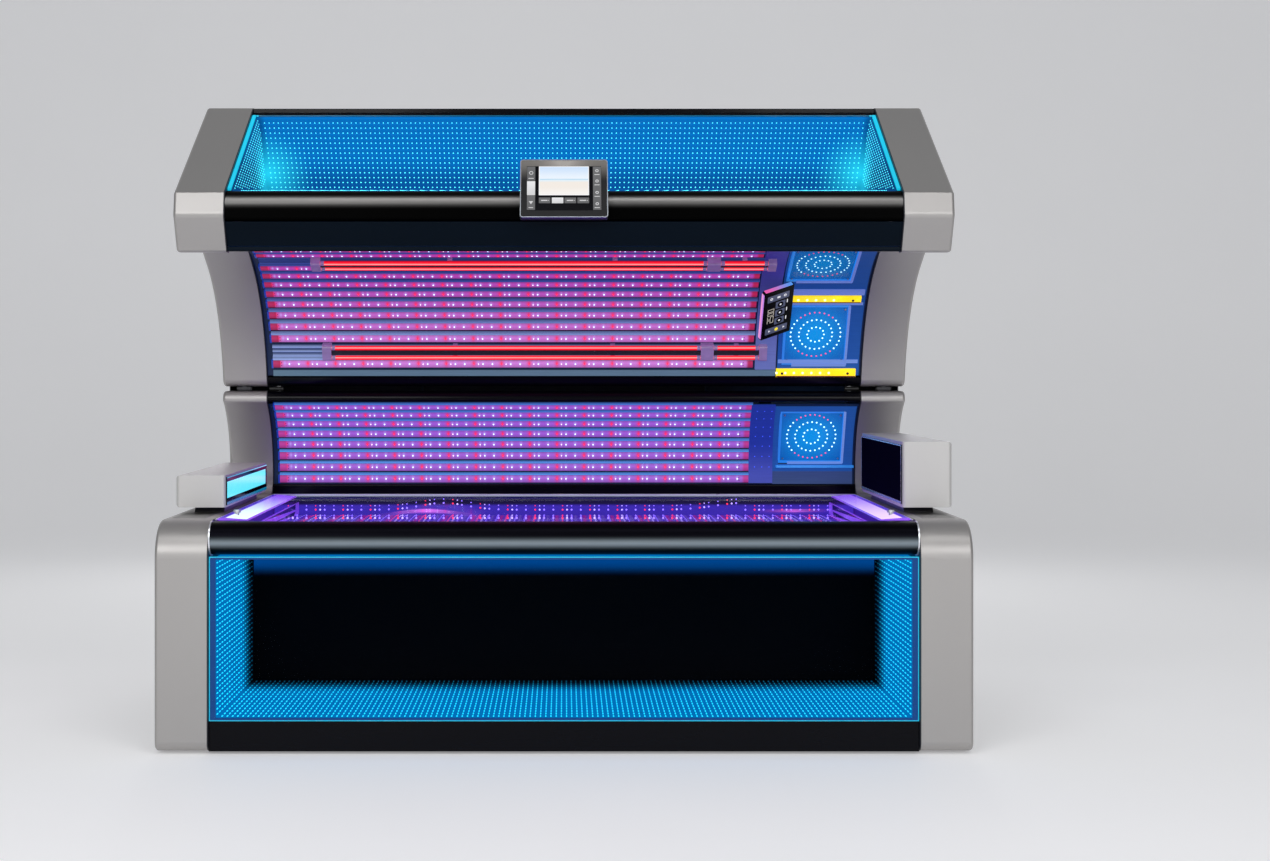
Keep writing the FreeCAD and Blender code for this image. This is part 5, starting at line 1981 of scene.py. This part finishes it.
# ---------------------------------------------------------------- bench
@dataclass
class Bench:
    """Lamp bars under the acrylic, the acrylic itself and the end mouldings."""

    bars: int = 22
    first: float = 142.0
    pitch: float = 48.0
    tall_rows: tuple[Triple, ...] = ((1006.0, 0.969, 618.5), (1150.0, 0.990, 613.8))
    rests: tuple[Pair, Pair] = ((-430.0, 115.0), (640.0, 140.0))
    rest_lift: float = 24.0
    wall_rows: tuple[Pair, ...] = ((627.0, 3.4), (641.0, 2.2))
    half: float = 1033.0
    columns: int = 20
    left: float = -985.0
    column_pitch: float = 98.0
    cover: tuple[Pair, ...] = ((-11.5, 597.0), (-12.0, 608.0), (-6.0, 610.6), (0.0, 611.2), (6.0, 610.6),
                               (12.0, 608.0), (11.5, 597.0))
    diodes: tuple[tuple[Diode, float], ...] = ((RED_DIODE, 0.0), (BENCH_DIM, 16.0), (BENCH_BLUE, 32.0),
                                               (BENCH_BLUE, 65.0))

    def lamps(self) -> None:
        """Bars and diodes that shine up through the acrylic."""
        across, first = (0.0, self.pitch, 0.0), (0.0, self.first, 0.0)
        form = Shape().prism(self.cover, -self.half, self.half).object("bench_lamp_bars")
        form = Patterns.row(form, BENCH_LENS, self.bars, across, first)
        fit(form, None, Body.BASE, ["bench_led_bars"])
        for place, (finish, shift) in enumerate(self.diodes):
            form = Shape().turned(((610.6, 4.0), (611.5, 3.0)), 8, ORIGIN, Axis.HEIGHT)
            form = form.object(f"bench_diodes_{place}")
            form = Patterns.row(form, finish, self.columns, (self.column_pitch, 0.0, 0.0),
                                (self.left + shift, 0.0, 0.0))
            form = Patterns.row(form, finish, self.bars, across, first)
            fit(form, None, Body.BASE)

    def rows(self) -> None:
        """Taller diodes along two bars, and two rows on the tray's rear wall that follow the rests."""
        back = Shape().box(-self.half - 1, self.half + 1, 1214.0, 1218.0, 592.0, 667.0)
        fit(back.object("bench_rear_wall"), BENCH_BACK, Body.BASE)
        for place, (finish, shift) in enumerate(self.diodes):
            shape = Shape()
            for k in range(self.columns):
                x = self.left + shift + self.column_pitch * k
                for depth, spread, top in self.tall_rows:
                    dome = ((611.0, 3.4), (top - 2.0, 3.0), (top, 1.4))
                    shape.turned(dome, 8, (x * spread, depth, 0.0), Axis.HEIGHT)
                lift = self.rest_lift * self._wave(x)
                for height, radius in self.wall_rows:
                    dome = ((1213.6, radius), (1211.6, radius - 0.4), (1210.8, radius * 0.5))
                    shape.turned(dome, 8, (x, 0.0, height + lift), Axis.DEPTH)
            fit(shape.object(f"bench_rear_diodes_{place}"), finish, Body.BASE)

    def _wave(self, x: float) -> float:
        """Share of a rest's full height at a place along the bench.

        Args:
            x: Place along the bench.

        Returns:
            The share, from 0 to 1.
        """
        (low, low_reach), (high, high_reach) = self.rests
        wave = math.exp(-((x - low) / low_reach) ** 2)
        if x < high:
            wave += math.exp(-((x - high) / high_reach) ** 2)
        return wave

    def ends(self) -> None:
        """End mouldings over the acrylic's ends, glowing with painted light and with a painted sheen on their
        slopes, and their walls below it with dark triangles on their inner faces.
        """
        top, wall, dark_triangles, stripes = Shape(), Shape(), Shape(), Shape()
        for side in (-1, 1):
            section = [(946.0, 676.2), (1035.5, 676.2), (1035.5, 683.4), (1018.0, 684.4), (950.0, 679.4)]
            outline = [(side * x, z) for x, z in section]
            top.slab(outline if side > 0 else outline[::-1], 130.0, 1160.0)
            x0, x1 = sorted((side * 946.0, side * 950.0))
            wall.box(x0, x1, 130.0, 1208.0, 612.0, 654.0)
            # dark gloss triangles on the inner faces of the end walls
            for corners in (((1120, 652), (1120, 634), (430, 651)), ((1110, 628), (1090, 614), (640, 629))):
                face = [(side * 945.6, depth, z) for depth, z in corners]
                dark_triangles.wedge(face, (side * 1.0, 0.0, 0.0))
            x0, x1 = sorted((side * 1020.0, side * 1029.0))
            stripes.box(x0, x1, 131.0, 1159.0, 684.0, 684.8)
            # painted sheen: a glowing slab on each sloped end face
            place = facing((side * 950.0, 0.0, 679.4), (0.0, -side, 0.0), (side * 68.0, 0.0, 5.0))
            ends = sorted((-side * 136.0, -side * 1154.0))
            sheen = Shape().slab(soft_corners(ends[0], ends[1], 2.0, 64.0, 4.0), -0.5, 1.0)
            finish = END_SHEEN[side > 0]
            fit(sheen.object(finish.name, place, 0.2), finish, Body.BASE)
        fit(top.object("bench_end_tops", BED, 0.8), END_MOULD, Body.BASE, ["bench_ends"])
        fit(wall.object("bench_end_walls", BED, 0.6), END_MOULD, Body.BASE, ["bench_ends"])
        fit(dark_triangles.object("bench_end_dark_triangles"), POD_BLACK, Body.BASE)
        fit(stripes.object("bench_end_stripes"), END_STRIPE, Body.BASE)
        # painted highlight: a pale glowing bead along the acrylic's rear edge
        edge = Shape().box(-1034.0, 1034.0, 1221.0, 1225.0, 674.4, 677.0)
        fit(edge.object("acrylic_rear_edge_highlight"), REAR_EDGE_HIGHLIGHT, Body.BASE)

    def build(self) -> None:
        """Make the bench."""
        self.lamps()
        self.rows()
        self.ends()
        dress(["bench_tray"], TRAY)
        dress(["bench_acrylic"], ACRYLIC)
        dress(["bench_ends"], END_MOULD)
        dress(["bench_trim"], CHROME)


# ---------------------------------------------------------------- screens and controls
@dataclass
class LipDisplay:
    """Tilting screen on the lip: metal frame, picture page, keys and two icon columns."""

    place: Matrix = (BED @ Matrix.Translation((0.0, 205.0, 1590.0))
                     @ Matrix.Rotation(math.radians(-26), 4, "X"))
    keys: tuple[tuple[float, float], ...] = ((-76.7, -41.6), (-37.1, -2.0), (1.4, 36.9), (41.0, 76.5))

    def _lay(self, name: str, finish: Finish, front: float, outlines: Iterable[Sequence[Pair]]) -> None:
        """Lay flat outlines on the screen's face.

        Args:
            name: Ending of the piece's name.
            finish: Its finish.
            front: How far its front stands out.
            outlines: Outlines to lay.
        """
        shape = Shape()
        for outline in outlines:
            shape.slab(outline, front, front + 0.5)
        fit(shape.object(f"display_{name}", self.place), finish, Body.DISPLAY)

    def _columns(self) -> tuple[list[Sequence[Pair]], list[Sequence[Pair]]]:
        """Icons and label bars of the side columns.

        Returns:
            Outlines of the marks, and of their middles.
        """
        left, right = -100.8, 101.2
        marks = [disc(left, 158.0, 6.5), soft_corners(left - 8, left + 8, 137.0, 139.6, 0.8)]
        shades = [disc(left, 158.0, 4.2)]
        marks.append([(left, 46.0), (left + 6.5, 57.0), (left - 6.5, 57.0)])
        marks.append(soft_corners(left - 7, left + 7, 33.0, 35.4, 0.8))
        for height in (166.0, 129.0, 88.0, 48.0):
            marks.append(disc(right, height, 5.6, 6))
            marks.append(soft_corners(right - 8, right + 8, height - 15, height - 12.6, 0.8))
            shades.append(disc(right, height, 2.9, 6))
        return marks, shades

    def build(self) -> None:
        """Make the screen's frame and page."""
        self._lay("face", GLOSS_BLACK, -0.4, [soft_corners(-131.5, 131.5, 3.0, 202.0, 6.5)])
        bezel = Shape().frame(soft_corners(-132.0, 132.0, 2.0, 203.0, 7.0),
                              soft_corners(-114.0, 114.0, 24.0, 182.0, 1.5), -1.2, 0.4)
        fit(bezel.object("display_bezel", self.place, 0.3), BEZEL, Body.DISPLAY)
        rim = Shape().frame(soft_corners(-134.2, 134.2, -0.2, 205.2, 8.5),
                            soft_corners(-131.6, 131.6, 2.4, 202.6, 6.5), -2.0, 5.0)
        fit(rim.object("display_rim", self.place, 0.5), SCREEN_RIM, Body.DISPLAY)
        self._lay("page_edge", PAGE_EDGE, -0.8, [soft_corners(-77.0, 76.5, 78.5, 181.5, 0.6)])
        self._lay("page", SHORE, -1.1, [soft_corners(-74.4, 74.0, 81.0, 179.2, 0.4)])
        dark = [(-113.2, -88.3, 129.4, 180.7), (-113.2, -88.3, 26.4, 77.4), (88.7, 113.6, 26.4, 180.7)]
        dark += [(*self.keys[k], 50.0, 70.1) for k in (0, 2, 3)]
        self._lay("keys_dark", KEY_DARK, -0.8, [soft_corners(*key, 1.0) for key in dark])
        pale = [(-113.2, -88.3, 78.6, 128.2), (*self.keys[1], 50.0, 70.1)]
        self._lay("keys_pale", KEY_PALE, -0.8, [soft_corners(*key, 1.0) for key in pale])
        marks, shades = self._columns()
        for k in (0, 2, 3):
            x0, x1 = self.keys[k]
            marks += [soft_corners(x0 + 7, x1 - 9, 58.0, 61.6, 0.8), disc(x1 - 5.5, 59.8, 1.4, 8)]
        self._lay("marks", MARK, -1.0, marks)
        self._lay("mark_middles", KEY_DARK, -1.2, shades)


@dataclass
class ControlTablet:
    """Hand-held control panel on its swivel arm: keys, round buttons and a four-figure counter."""

    place: Matrix = (BED @ Matrix.Translation((717.0, 925.0, 1325.0))
                     @ Matrix.Rotation(math.radians(42), 4, "X")
                     @ Matrix.Translation((0.0, 20.0, 0.0)) @ Matrix.Rotation(math.radians(27), 4, "Z")
                     @ Matrix.Translation((0.0, -20.0, 0.0)))
    half_x: float = 60.0
    half_z: float = 105.0
    figures: tuple[int, ...] = (2, 5, 0, 0)

    def _at(self, u: float, v: float) -> Pair:
        """Face spot in millimetres from its share of width and height."""
        return (2 * u - 1) * self.half_x, (2 * v - 1) * self.half_z

    def _pad(self, u0: float, u1: float, v0: float, v1: float, radius: float = 3.0) -> list[Pair]:
        """Rounded outline between two spots."""
        (x0, z0), (x1, z1) = self._at(u0, v0), self._at(u1, v1)
        return soft_corners(x0, x1, z0, z1, radius)

    def _lay(self, name: str, finish: Finish, front: float, outlines: Iterable[Sequence[Pair]]) -> None:
        """Lay flat outlines on the panel's face.

        Args:
            name: Ending of the piece's name.
            finish: Its finish.
            front: How far its front stands out.
            outlines: Outlines to lay.
        """
        shape = Shape()
        for outline in outlines:
            shape.slab(outline, -8.5 - front, -8.1 - front)
        fit(shape.object(f"tablet_{name}", self.place), finish, Body.TABLET)

    def _counter(self) -> list[Sequence[Pair]]:
        """Seven-segment figures that read sideways, foot to the right.

        Returns:
            Outlines of the strokes.
        """
        strokes = {0: "abcdef", 2: "abged", 5: "afgcd"}
        spans = {"a": (0, 1, 1, 1), "b": (1, 1, 0.5, 1), "c": (1, 1, 0, 0.5), "d": (0, 1, 0, 0),
                 "e": (0, 0, 0, 0.5), "f": (0, 0, 0.5, 1), "g": (0, 1, 0.5, 0.5)}
        outlines = []
        for place, figure in enumerate(self.figures):
            foot = 0.335 + 0.077 * place
            for stroke in strokes[figure]:
                a0, a1, b0, b1 = spans[stroke]
                (x0, z0) = self._at(0.36 - 0.19 * b1, foot + 0.052 * a0)
                (x1, z1) = self._at(0.36 - 0.19 * b0, foot + 0.052 * a1)
                outlines.append(soft_corners(x0 - 1.1, x1 + 1.1, z0 - 1.1, z1 + 1.1, 0.6))
        return outlines

    def build(self) -> None:
        """Make the panel's face, and its edges with a painted glow."""
        wide = [self._pad(0.12, 0.84, 0.774, 0.903), self._pad(0.13, 0.86, 0.09, 0.218)]
        rows = ((0.60, 0.739), (0.433, 0.566), (0.265, 0.398))
        self._lay("keys", TABLET_KEY, 0.2, wide + [self._pad(0.41, 0.73, *row) for row in rows])
        self._lay("buttons", POD_BLACK, 0.4, [disc(*self._at(0.57, sum(row) / 2), 11.5, 20) for row in rows])
        marks = [disc(*self._at(0.57, sum(row) / 2), 4.2, 6) for row in rows]
        marks += [self._pad(0.775, 0.805, v - 0.035, v + 0.035, 1.0) for v in (0.70, 0.53, 0.35)]
        marks += [disc(*self._at(u, 0.838), 5.6, 8) for u in (0.25, 0.70)]
        marks += [self._pad(0.44, 0.54, 0.82, 0.856, 1.5), disc(*self._at(0.26, 0.155), 5.2, 3),
                  disc(*self._at(0.74, 0.155), 5.2, 3)]
        self._lay("marks", TABLET_MARK, 0.6, marks)
        self._lay("mark_middles", TABLET_KEY, 0.8, [disc(*self._at(u, 0.838), 2.6, 8) for u in (0.25, 0.70)])
        self._lay("lamp_mark", YELLOW_MARK, 0.6, [disc(*self._at(0.5, 0.155), 6.6, 12)])
        self._lay("counter", DIGIT, 0.4, self._counter())
        # edges with a painted glow of the lamps' reflections
        side = Shape().slab(soft_corners(-7.5, 7.5, -98.0, 98.0, 3.0), -0.5, 0.4)
        turn = Matrix.Translation((-self.half_x, 0.0, 0.0)) @ Matrix.Rotation(math.radians(-90), 4, "Z")
        fit(side.object("tablet_side_edge", self.place @ turn), PINK_EDGE, Body.TABLET)
        top = Shape().slab(soft_corners(-54.0, 54.0, -7.5, 7.5, 3.0), -0.5, 0.4)
        turn = Matrix.Translation((0.0, 0.0, self.half_z)) @ Matrix.Rotation(math.radians(-90), 4, "X")
        fit(top.object("tablet_top_edge", self.place @ turn), VIOLET_EDGE, Body.TABLET)


@dataclass
class Pods:
    """Arm-rest pods: a lit page in the left one's screen, a dark screen with a pale rim in the right one."""

    face: float = 1043.0

    def _left(self) -> None:
        """Lit page with its frames."""
        place = facing((-self.face, 0.0, 0.0), (0.0, 1.0, 0.0), (0.0, 0.0, 1.0))
        for name, finish, front, outline in (
                ("glass", POD_BLACK, -0.05, soft_corners(316.5, 1091.5, 708.5, 794.5, 2.0)),
                ("page", POD_PAGE, -0.25, soft_corners(320.0, 1064.0, 730.0, 780.5, 1.0)),
                ("head", POD_EDGE, -0.25, soft_corners(318.0, 1090.0, 791.2, 794.6, 0.5)),
                ("foot", POD_TEAL, -0.25, soft_corners(318.0, 1090.0, 708.4, 717.5, 0.5))):
            shape = Shape().slab(outline, front, front + 0.2)
            fit(shape.object(f"pod_left_{name}", place), finish, Body.BASE)

    def _right(self) -> None:
        """Pale rim and foot rim round the dark screen."""
        place = facing((self.face, 0.0, 0.0), (0.0, -1.0, 0.0), (0.0, 0.0, 1.0))
        rim = Shape().frame(soft_corners(-1091.6, -316.4, 712.2, 894.8, 3.0),
                            soft_corners(-1086.0, -321.0, 720.0, 891.0, 1.5), -0.28, 0.3)
        fit(rim.object("pod_right_rim", place), POD_RIM, Body.BASE)
        foot = Shape().slab(soft_corners(-1085.0, -322.0, 713.0, 719.4, 0.6), -0.29, 0.2)
        fit(foot.object("pod_right_foot_rim", place), POD_FOOT_RIM, Body.BASE)

    def build(self) -> None:
        """Make the screens' faces, and the plates let into the cheeks under the pods."""
        self._left()
        self._right()
        plates = Shape()
        for side in (-1, 1):
            x0, x1 = sorted((side * 1076.0, side * 1175.0))
            plates.box(x0, x1, 150.0, 345.0, 681.6, 682.8)
        fit(plates.object("cheek_top_plates", BED, 0.4), CHEEK_PLATE, Body.BASE)


# ---------------------------------------------------------------- carried-over nodes
PLAIN_NODES: tuple[tuple[Finish, str], ...] = (
    (SILVER, "base_cheek_cover_left base_cheek_cover_right canopy_cheek_cover_left canopy_cheek_cover_right"),
    (LINER, "base_cheek_liners canopy_cheek_liners"),
    (GLOSS_BLACK, "base_rails canopy_rails plinth_panel control_tablet"),
    (BUMPER_BLACK, "front_bumper"),
    (LIP_BLACK, "canopy_lip"),
    (LIP_NAVY, "canopy_lip_panel"),
    (GRAPHITE, "lip_display"),
    (BASE_PARTITION, "base_partition"),
    (PARTITION, "canopy_partition"),
    (POD_SILVER, "pod_bodies"),
    (NAVY_GLOSS, "pod_screen_right"),
    (POD_BLACK, "pod_screen_left"),
    (STALK, "pod_stalks"),
    (YELLOW, "canopy_yellow_lamps"),
    (HOLDER, "canopy_tube_holders"),
    (LAMP_TRAY, "base_face_lamp canopy_face_lamps"),
    (DARK_SLIT, "base_reflector canopy_reflector"),
    (FRAME_COAT, "base_frame canopy_frame canopy_formers"),
    (REAR, "base_rear_cover canopy_rear_cover canopy_wedge_covers"),
    (FAN_PLASTIC, "fan_housings fan_rotor_left fan_rotor_right"),
    (STEEL, "fan_guards control_pins control_brackets lift_drives lift_rod_left lift_rod_right"),
    (GLAND, "power_gland hinge_pins"),
    (CASE, "power_units"),
    (RUBBER, "levelling_feet"),
)


@dataclass
class RearDetails:
    """Screws, seams and louvre hoods of the base's rear cover, and the bushes round its hinge."""

    face: float = 1480.0
    screw_columns: int = 9
    screw_rows: int = 3
    screw_pitch: Pair = (255.0, 465.0)
    hoods: int = 7
    hood_pitch: float = 36.0
    louvre_pitch: float = 770.0

    def build(self) -> None:
        """Make the details."""
        face = self.face
        head = ((face - 1.0, 5.6), (face + 0.7, 5.6), (face + 1.6, 3.4), (face + 1.6, 1.2))
        form = Shape().turned(head, 12).object("rear_screws")
        across, up = self.screw_pitch
        form = Patterns.row(form, STEEL, self.screw_columns, (across, 0.0, 0.0), (-1020.0, 0.0, 0.0))
        form = Patterns.row(form, STEEL, self.screw_rows, (0.0, 0.0, up), (0.0, 0.0, 45.0))
        fit(form, None, Body.BASE)
        hood = ((face - 0.5, 0.0), (face + 2.6, 0.4), (face + 2.6, 1.6), (face - 0.5, 5.0))
        form = Shape().prism(hood, 0.0, 304.0).object("louvre_hoods")
        form = Patterns.row(form, REAR, 3, (self.louvre_pitch, 0.0, 0.0), (-922.0, 0.0, 0.0))
        form = Patterns.row(form, REAR, self.hoods, (0.0, 0.0, self.hood_pitch), (0.0, 0.0, 712.2))
        fit(form, None, Body.BASE)
        seams, bushes = Shape(), Shape()
        for side in (-1, 1):
            seam = side * self.louvre_pitch / 2
            seams.box(seam - 1.3, seam + 1.3, face - 1.0, face + 0.25, 34.0, 988.0)
            x0, x1 = sorted((side * 992.0, side * 1041.0))
            bushes.turned(((x0, 3.0), (x0, 8.0), (x1, 8.0), (x1, 3.0)), 16, (0.0, 1149.0, 1060.0), Axis.X)
        fit(seams.object("rear_seams"), RUBBER, Body.BASE)
        fit(bushes.object("hinge_bushes"), GLAND, Body.CANOPY)


# ---------------------------------------------------------------- studio
@dataclass
class Studio:
    """Camera, soft lights and a plain pale floor that rises into a backdrop."""

    lens: float = 53.27
    shift: Pair = (0.0559, -0.0492)
    eye: Triple = (0.0, -6.24, 1.133)
    floor_colour: Colour = (0.80, 0.80, 0.81)
    floor_glow: Colour = (0.26, 0.26, 0.265)
    lights: tuple[tuple[str, Triple, Triple, Pair, float], ...] = (
        ("key", (-2.4, -6.2, 3.2), (0.0, 0.0, 1.3), (3.0, 2.0), 90.0),
        ("fill", (2.6, -6.2, 2.8), (0.0, 0.0, 1.2), (2.8, 2.0), 70.0),
        ("front", (0.0, -3.4, 0.30), (0.0, 0.0, 0.60), (5.0, 0.5), 5.0),
        ("high", (0.0, -3.0, 4.4), (0.0, -0.5, 1.4), (4.6, 0.7), 48.0),
        ("rear", (0.0, 4.6, 2.6), (0.0, 0.5, 1.0), (4.0, 1.6), 50.0),
    )

    def camera(self) -> None:
        """Camera, level, looking straight at the bed."""
        data = bpy.data.cameras.new("view")
        data.lens = self.lens
        data.sensor_width = 36.0
        data.shift_x, data.shift_y = self.shift
        camera = bpy.data.objects.new("view", data)
        camera.location = self.eye
        camera.rotation_euler = (math.radians(90), 0.0, 0.0)
        bpy.context.scene.collection.objects.link(camera)
        bpy.context.scene.camera = camera

    def light(self, name: str, place: Triple, aim: Triple, size: Pair, power: float) -> None:
        """One soft panel light.

        Args:
            name: Name of the light.
            place: Where it hangs.
            aim: Point it faces.
            size: Width and height.
            power: Power in watts.
        """
        data = bpy.data.lights.new(name, "AREA")
        data.shape = "RECTANGLE"
        data.size, data.size_y = size
        data.energy = power
        lamp = bpy.data.objects.new(name, data)
        lamp.location = place
        lamp.rotation_euler = (Vector(aim) - Vector(place)).to_track_quat("-Z", "Y").to_euler()
        bpy.context.scene.collection.objects.link(lamp)

    def floor(self) -> None:
        """Pale floor with a curved rise far behind."""
        section = [(-14.0, 0.0), (5.0, 0.0)]
        for turn in map(math.radians, range(10, 91, 10)):
            section.append((5.0 + 2.0 * math.sin(turn), 2.0 - 2.0 * math.cos(turn)))
        section.append((7.0, 9.0))
        mesh = bmesh.new()
        rows = [[mesh.verts.new((x, y, z)) for y, z in section] for x in (-16.0, 16.0)]
        for i in range(len(section) - 1):
            mesh.faces.new((rows[0][i], rows[1][i], rows[1][i + 1], rows[0][i + 1]))
        data = bpy.data.meshes.new("studio_floor")
        mesh.to_mesh(data)
        mesh.free()
        data.shade_smooth()
        floor = bpy.data.objects.new("studio_floor", data)
        bpy.context.scene.collection.objects.link(floor)
        look = Look("pale_floor")
        path = look.node("ShaderNodeLightPath")
        seen = [Wire(look, path.outputs[f"Is {kind} Ray"]) for kind in ("Camera", "Glossy", "Transmission")]
        shown = seen[0].most(seen[1]).most(seen[2])
        floor.data.materials.append(look.surface({
            "Base Color": look.scaled(self.floor_colour, 0.98 + look.noise(1.5, 2.0) * 0.04),
            "Roughness": 0.55,
            "Emission Color": look.mix(shown, (0.0, 0.0, 0.0), self.floor_glow),
            "Emission Strength": 1.0,
            "Specular IOR Level": 0.1,
        }))

    def world(self) -> None:
        """Even pale surroundings."""
        world = bpy.data.worlds.new("studio")
        world.use_nodes = True
        background = world.node_tree.nodes["Background"]
        background.inputs[0].default_value = (0.90, 0.92, 0.95, 1.0)
        background.inputs[1].default_value = 0.30
        bpy.context.scene.world = world

    def build(self) -> None:
        """Set the studio up."""
        self.camera()
        self.floor()
        self.world()
        for light in self.lights:
            self.light(*light)
        bpy.context.scene.view_settings.view_transform = "Standard"


def main() -> None:
    """Dress the bed, one sub-assembly after another."""
    logging.basicConfig(level=logging.INFO, format="%(name)s: %(message)s")
    Studio().build()
    for finish, names in PLAIN_NODES:
        dress(names.split(), finish)
    LampWall("canopy", Body.CANOPY, CANOPY_WALL, 19, 19.0, 48.0, (1, 10), node="canopy_led_bars").build()
    LampWall("base", Body.BASE, BASE_WALL, 7, 3.8, 42.0, node="base_led_bars", lens=BASE_LENS,
             sheet=BASE_REFLECTOR).build()
    low = ArcWall(951.0, 735.0, 298.0)
    LampWall("base_low", Body.BASE, low, 1, 0.0, 42.0, node="base_led_bars", lens=BASE_LENS,
             sheet=BASE_REFLECTOR).build()
    step = CANOPY_WALL.step(48.0)
    TubePair("low", 19.0 + step, LOW_TUBE).build()
    TubePair("high", 19.0 + 10 * step, HIGH_TUBE).build()
    strip = Shape().bow(CANOPY_WALL, 14.6, 16.6, 1.0, 9.0, -1021.0, 742.0)
    fit(strip.object("canopy_foot_strip"), LOW_STRIP, Body.CANOPY)
    low_lamp = FaceLamp("canopy_face_low", Body.CANOPY, CANOPY_WALL, 30.3, 876.0, 112.0, 118.0)
    high_lamp = FaceLamp("canopy_face_high", Body.CANOPY, CANOPY_WALL, 65.1, 868.0, 112.0, 112.0)
    FaceBay("canopy_bay", Body.CANOPY, CANOPY_WALL, 14.6, 109.0, ((19.2, 20.4), (42.6, 43.4), (47.2, 49.6)),
            (low_lamp, high_lamp)).build()
    FaceBay("base_bay", Body.BASE, BASE_WALL, 0.5, 51.0, (),
            (FaceLamp("base_face", Body.BASE, BASE_WALL, 26.0, 884.0, 116.0, 104.0),)).build()
    partition_dots()
    low_bay = Shape().bow(ArcWall(951.0, 735.0, 298.0), -6.0, 5.0, 9.6, 12.0, 749.0, 1036.0)
    fit(low_bay.object("base_bay_foot"), LOW_BAY, Body.BASE)
    YellowStrip("yellow_high", 775.0, 1021.0, 45.2, 27.0, (993.0,)).build()
    YellowStrip("yellow_low", 745.0, 1024.0, 15.7, 29.0, (766.0, 996.0)).build()
    FrontTunnel().build()
    Fascia().build()
    Bench().build()
    Pods().build()
    RearDetails().build()
    LipDisplay().build()
    ControlTablet().build()


if __name__ == "__main__":
    main()
